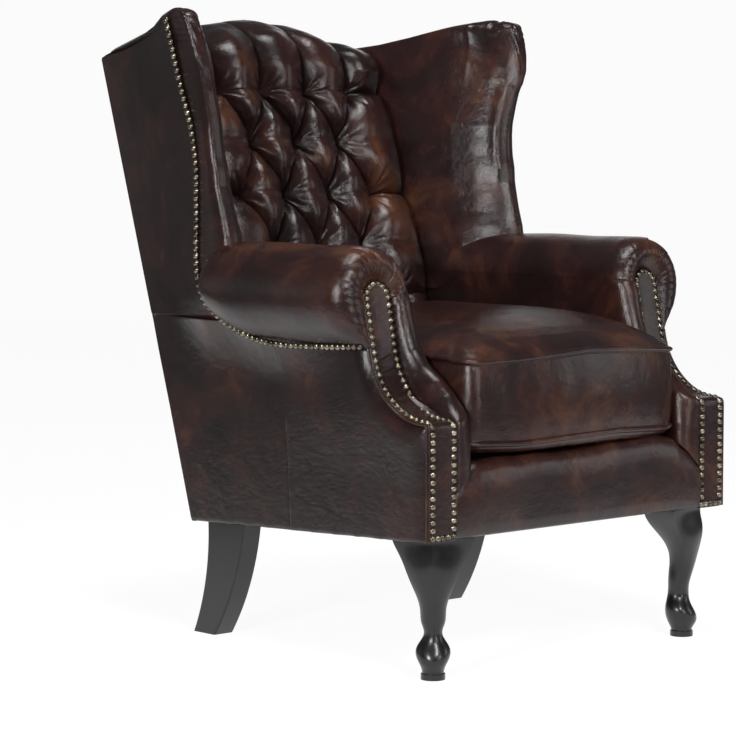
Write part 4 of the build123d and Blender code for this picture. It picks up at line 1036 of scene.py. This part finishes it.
# Studio
# A white paper floor that runs back and rises behind the chair, a dim grey room round it, and soft
# boxes: in front, on the left, overhead, behind, and fainter ones low in front and on the right.
paper, tree = begin_material("white paper")
ray = add(tree, "LightPath").outputs
seen = add(tree, "Math", {"operation": "MAXIMUM"},
           {0: ray["Is Camera Ray"], 1: ray["Is Glossy Ray"]}).outputs[0]
seen = add(tree, "Math", {"operation": "MAXIMUM"}, {0: seen, 1: ray["Is Transmission Ray"]})
matt = add(tree, "BsdfDiffuse", {"Color": linear("#e4e4e4")})
shadowed = add(tree, "BsdfDiffuse", {"Color": linear("#6c6c6c")})
glow = add(tree, "Emission", {"Strength": 0.93})
lit = add(tree, "AddShader", links={0: shadowed.outputs[0], 1: glow.outputs[0]})
mixed = add(tree, "MixShader", links={0: seen.outputs[0], 1: matt.outputs[0], 2: lit.outputs[0]})
add(tree, "OutputMaterial", links={"Surface": mixed.outputs[0]})

FLOOR_RADIUS, FLOOR_BACK, FLOOR_SPREAD = 1.6, 8.0, 0.09
BACK_WAY, CROSS_WAY = np.array([0.673, 0.739]), np.array([0.739, -0.673])


def floor_rows():
    """The paper's two edges, row by row, in metres: steps back from a round front end, then a
    quarter circle up and a straight rise; its width grows evenly with the way back."""
    front = FLOOR_RADIUS * np.sin(np.linspace(-np.pi / 2, 0, 24))
    turn = np.linspace(0, np.pi / 2, 12)[1:]
    run = np.concatenate([front, np.linspace(0.5, FLOOR_BACK, 16), FLOOR_BACK + np.sin(turn),
                          [FLOOR_BACK + 1]])
    rise = np.concatenate([np.zeros(len(front) + 16), 1 - np.cos(turn), [3.0]])
    half = np.sqrt(np.clip(FLOOR_RADIUS ** 2 - np.clip(run, None, 0) ** 2, 1e-6, None))
    half = half + FLOOR_SPREAD * np.clip(run, 0, None)
    edges = [run[:, None] * BACK_WAY + side * half[:, None] * CROSS_WAY for side in (-1, 1)]
    return np.stack([np.column_stack([edge, rise]) for edge in edges], 1)


spots = floor_rows()
index = np.arange(spots.size // 3).reshape(-1, 2)
faces = np.stack([index[:-1, 0], index[:-1, 1], index[1:, 1], index[1:, 0]], -1)
mesh = bpy.data.meshes.new("floor")
mesh.from_pydata(spots.reshape(-1, 3).tolist(), [], faces.tolist())
mesh.shade_smooth()
mesh.materials.append(paper)
floor = bpy.data.objects.new("floor", mesh)
bpy.context.scene.collection.objects.link(floor)

world = bpy.data.worlds.new("studio")
bpy.context.scene.world = world
world.use_nodes = True
tree = world.node_tree
tree.nodes.clear()
room = add(tree, "Background", {"Color": (1, 1, 1, 1), "Strength": 0.12})
add(tree, "OutputWorld", links={"Surface": room.outputs[0]})


def lamp(name, place, height, size, power):
    """A soft box at a place, aimed at the middle of the chair at a height; size is width and height
    in metres, power in watts."""
    data = bpy.data.lights.new(name, "AREA")
    data.shape, data.size, data.size_y, data.energy = "RECTANGLE", *size, power
    made = bpy.data.objects.new(name, data)
    made.location = place
    x, y, z = place
    made.rotation_euler = (np.arctan2(np.hypot(x, y), z - height), 0.0, np.arctan2(x, -y))
    bpy.context.scene.collection.objects.link(made)


lamp("front", (-1.3, -3.3, 2.7), 0.6, (0.8, 0.8), 64)
lamp("tall left", (-3.4, -1.4, 1.3), 0.6, (0.65, 0.95), 74)
lamp("overhead", (-0.3, -0.2, 3.2), 0.5, (0.7, 0.7), 34)
lamp("back left", (-3.0, 3.2, 1.0), 0.6, (2.6, 1.8), 4.5)
lamp("back right", (2.6, 2.2, 2.0), 0.5, (1.2, 1.0), 2)
lamp("front low", (-0.2, -3.9, 1.1), 0.6, (0.45, 1.5), 22)
lamp("front right", (2.8, -2.7, 1.2), 0.5, (1.0, 1.6), 13)

camera = bpy.data.objects.new("camera", bpy.data.cameras.new("camera"))
camera.data.sensor_width, camera.data.lens = 36.0, 138.03
camera.location = (-3.244, -3.488, 0.821)
camera.rotation_euler = (np.radians(90 - 4.57), 0.0, np.radians(-42.35))
bpy.context.scene.collection.objects.link(camera)
bpy.context.scene.camera = camera
bpy.context.scene.view_settings.view_transform = "Standard"
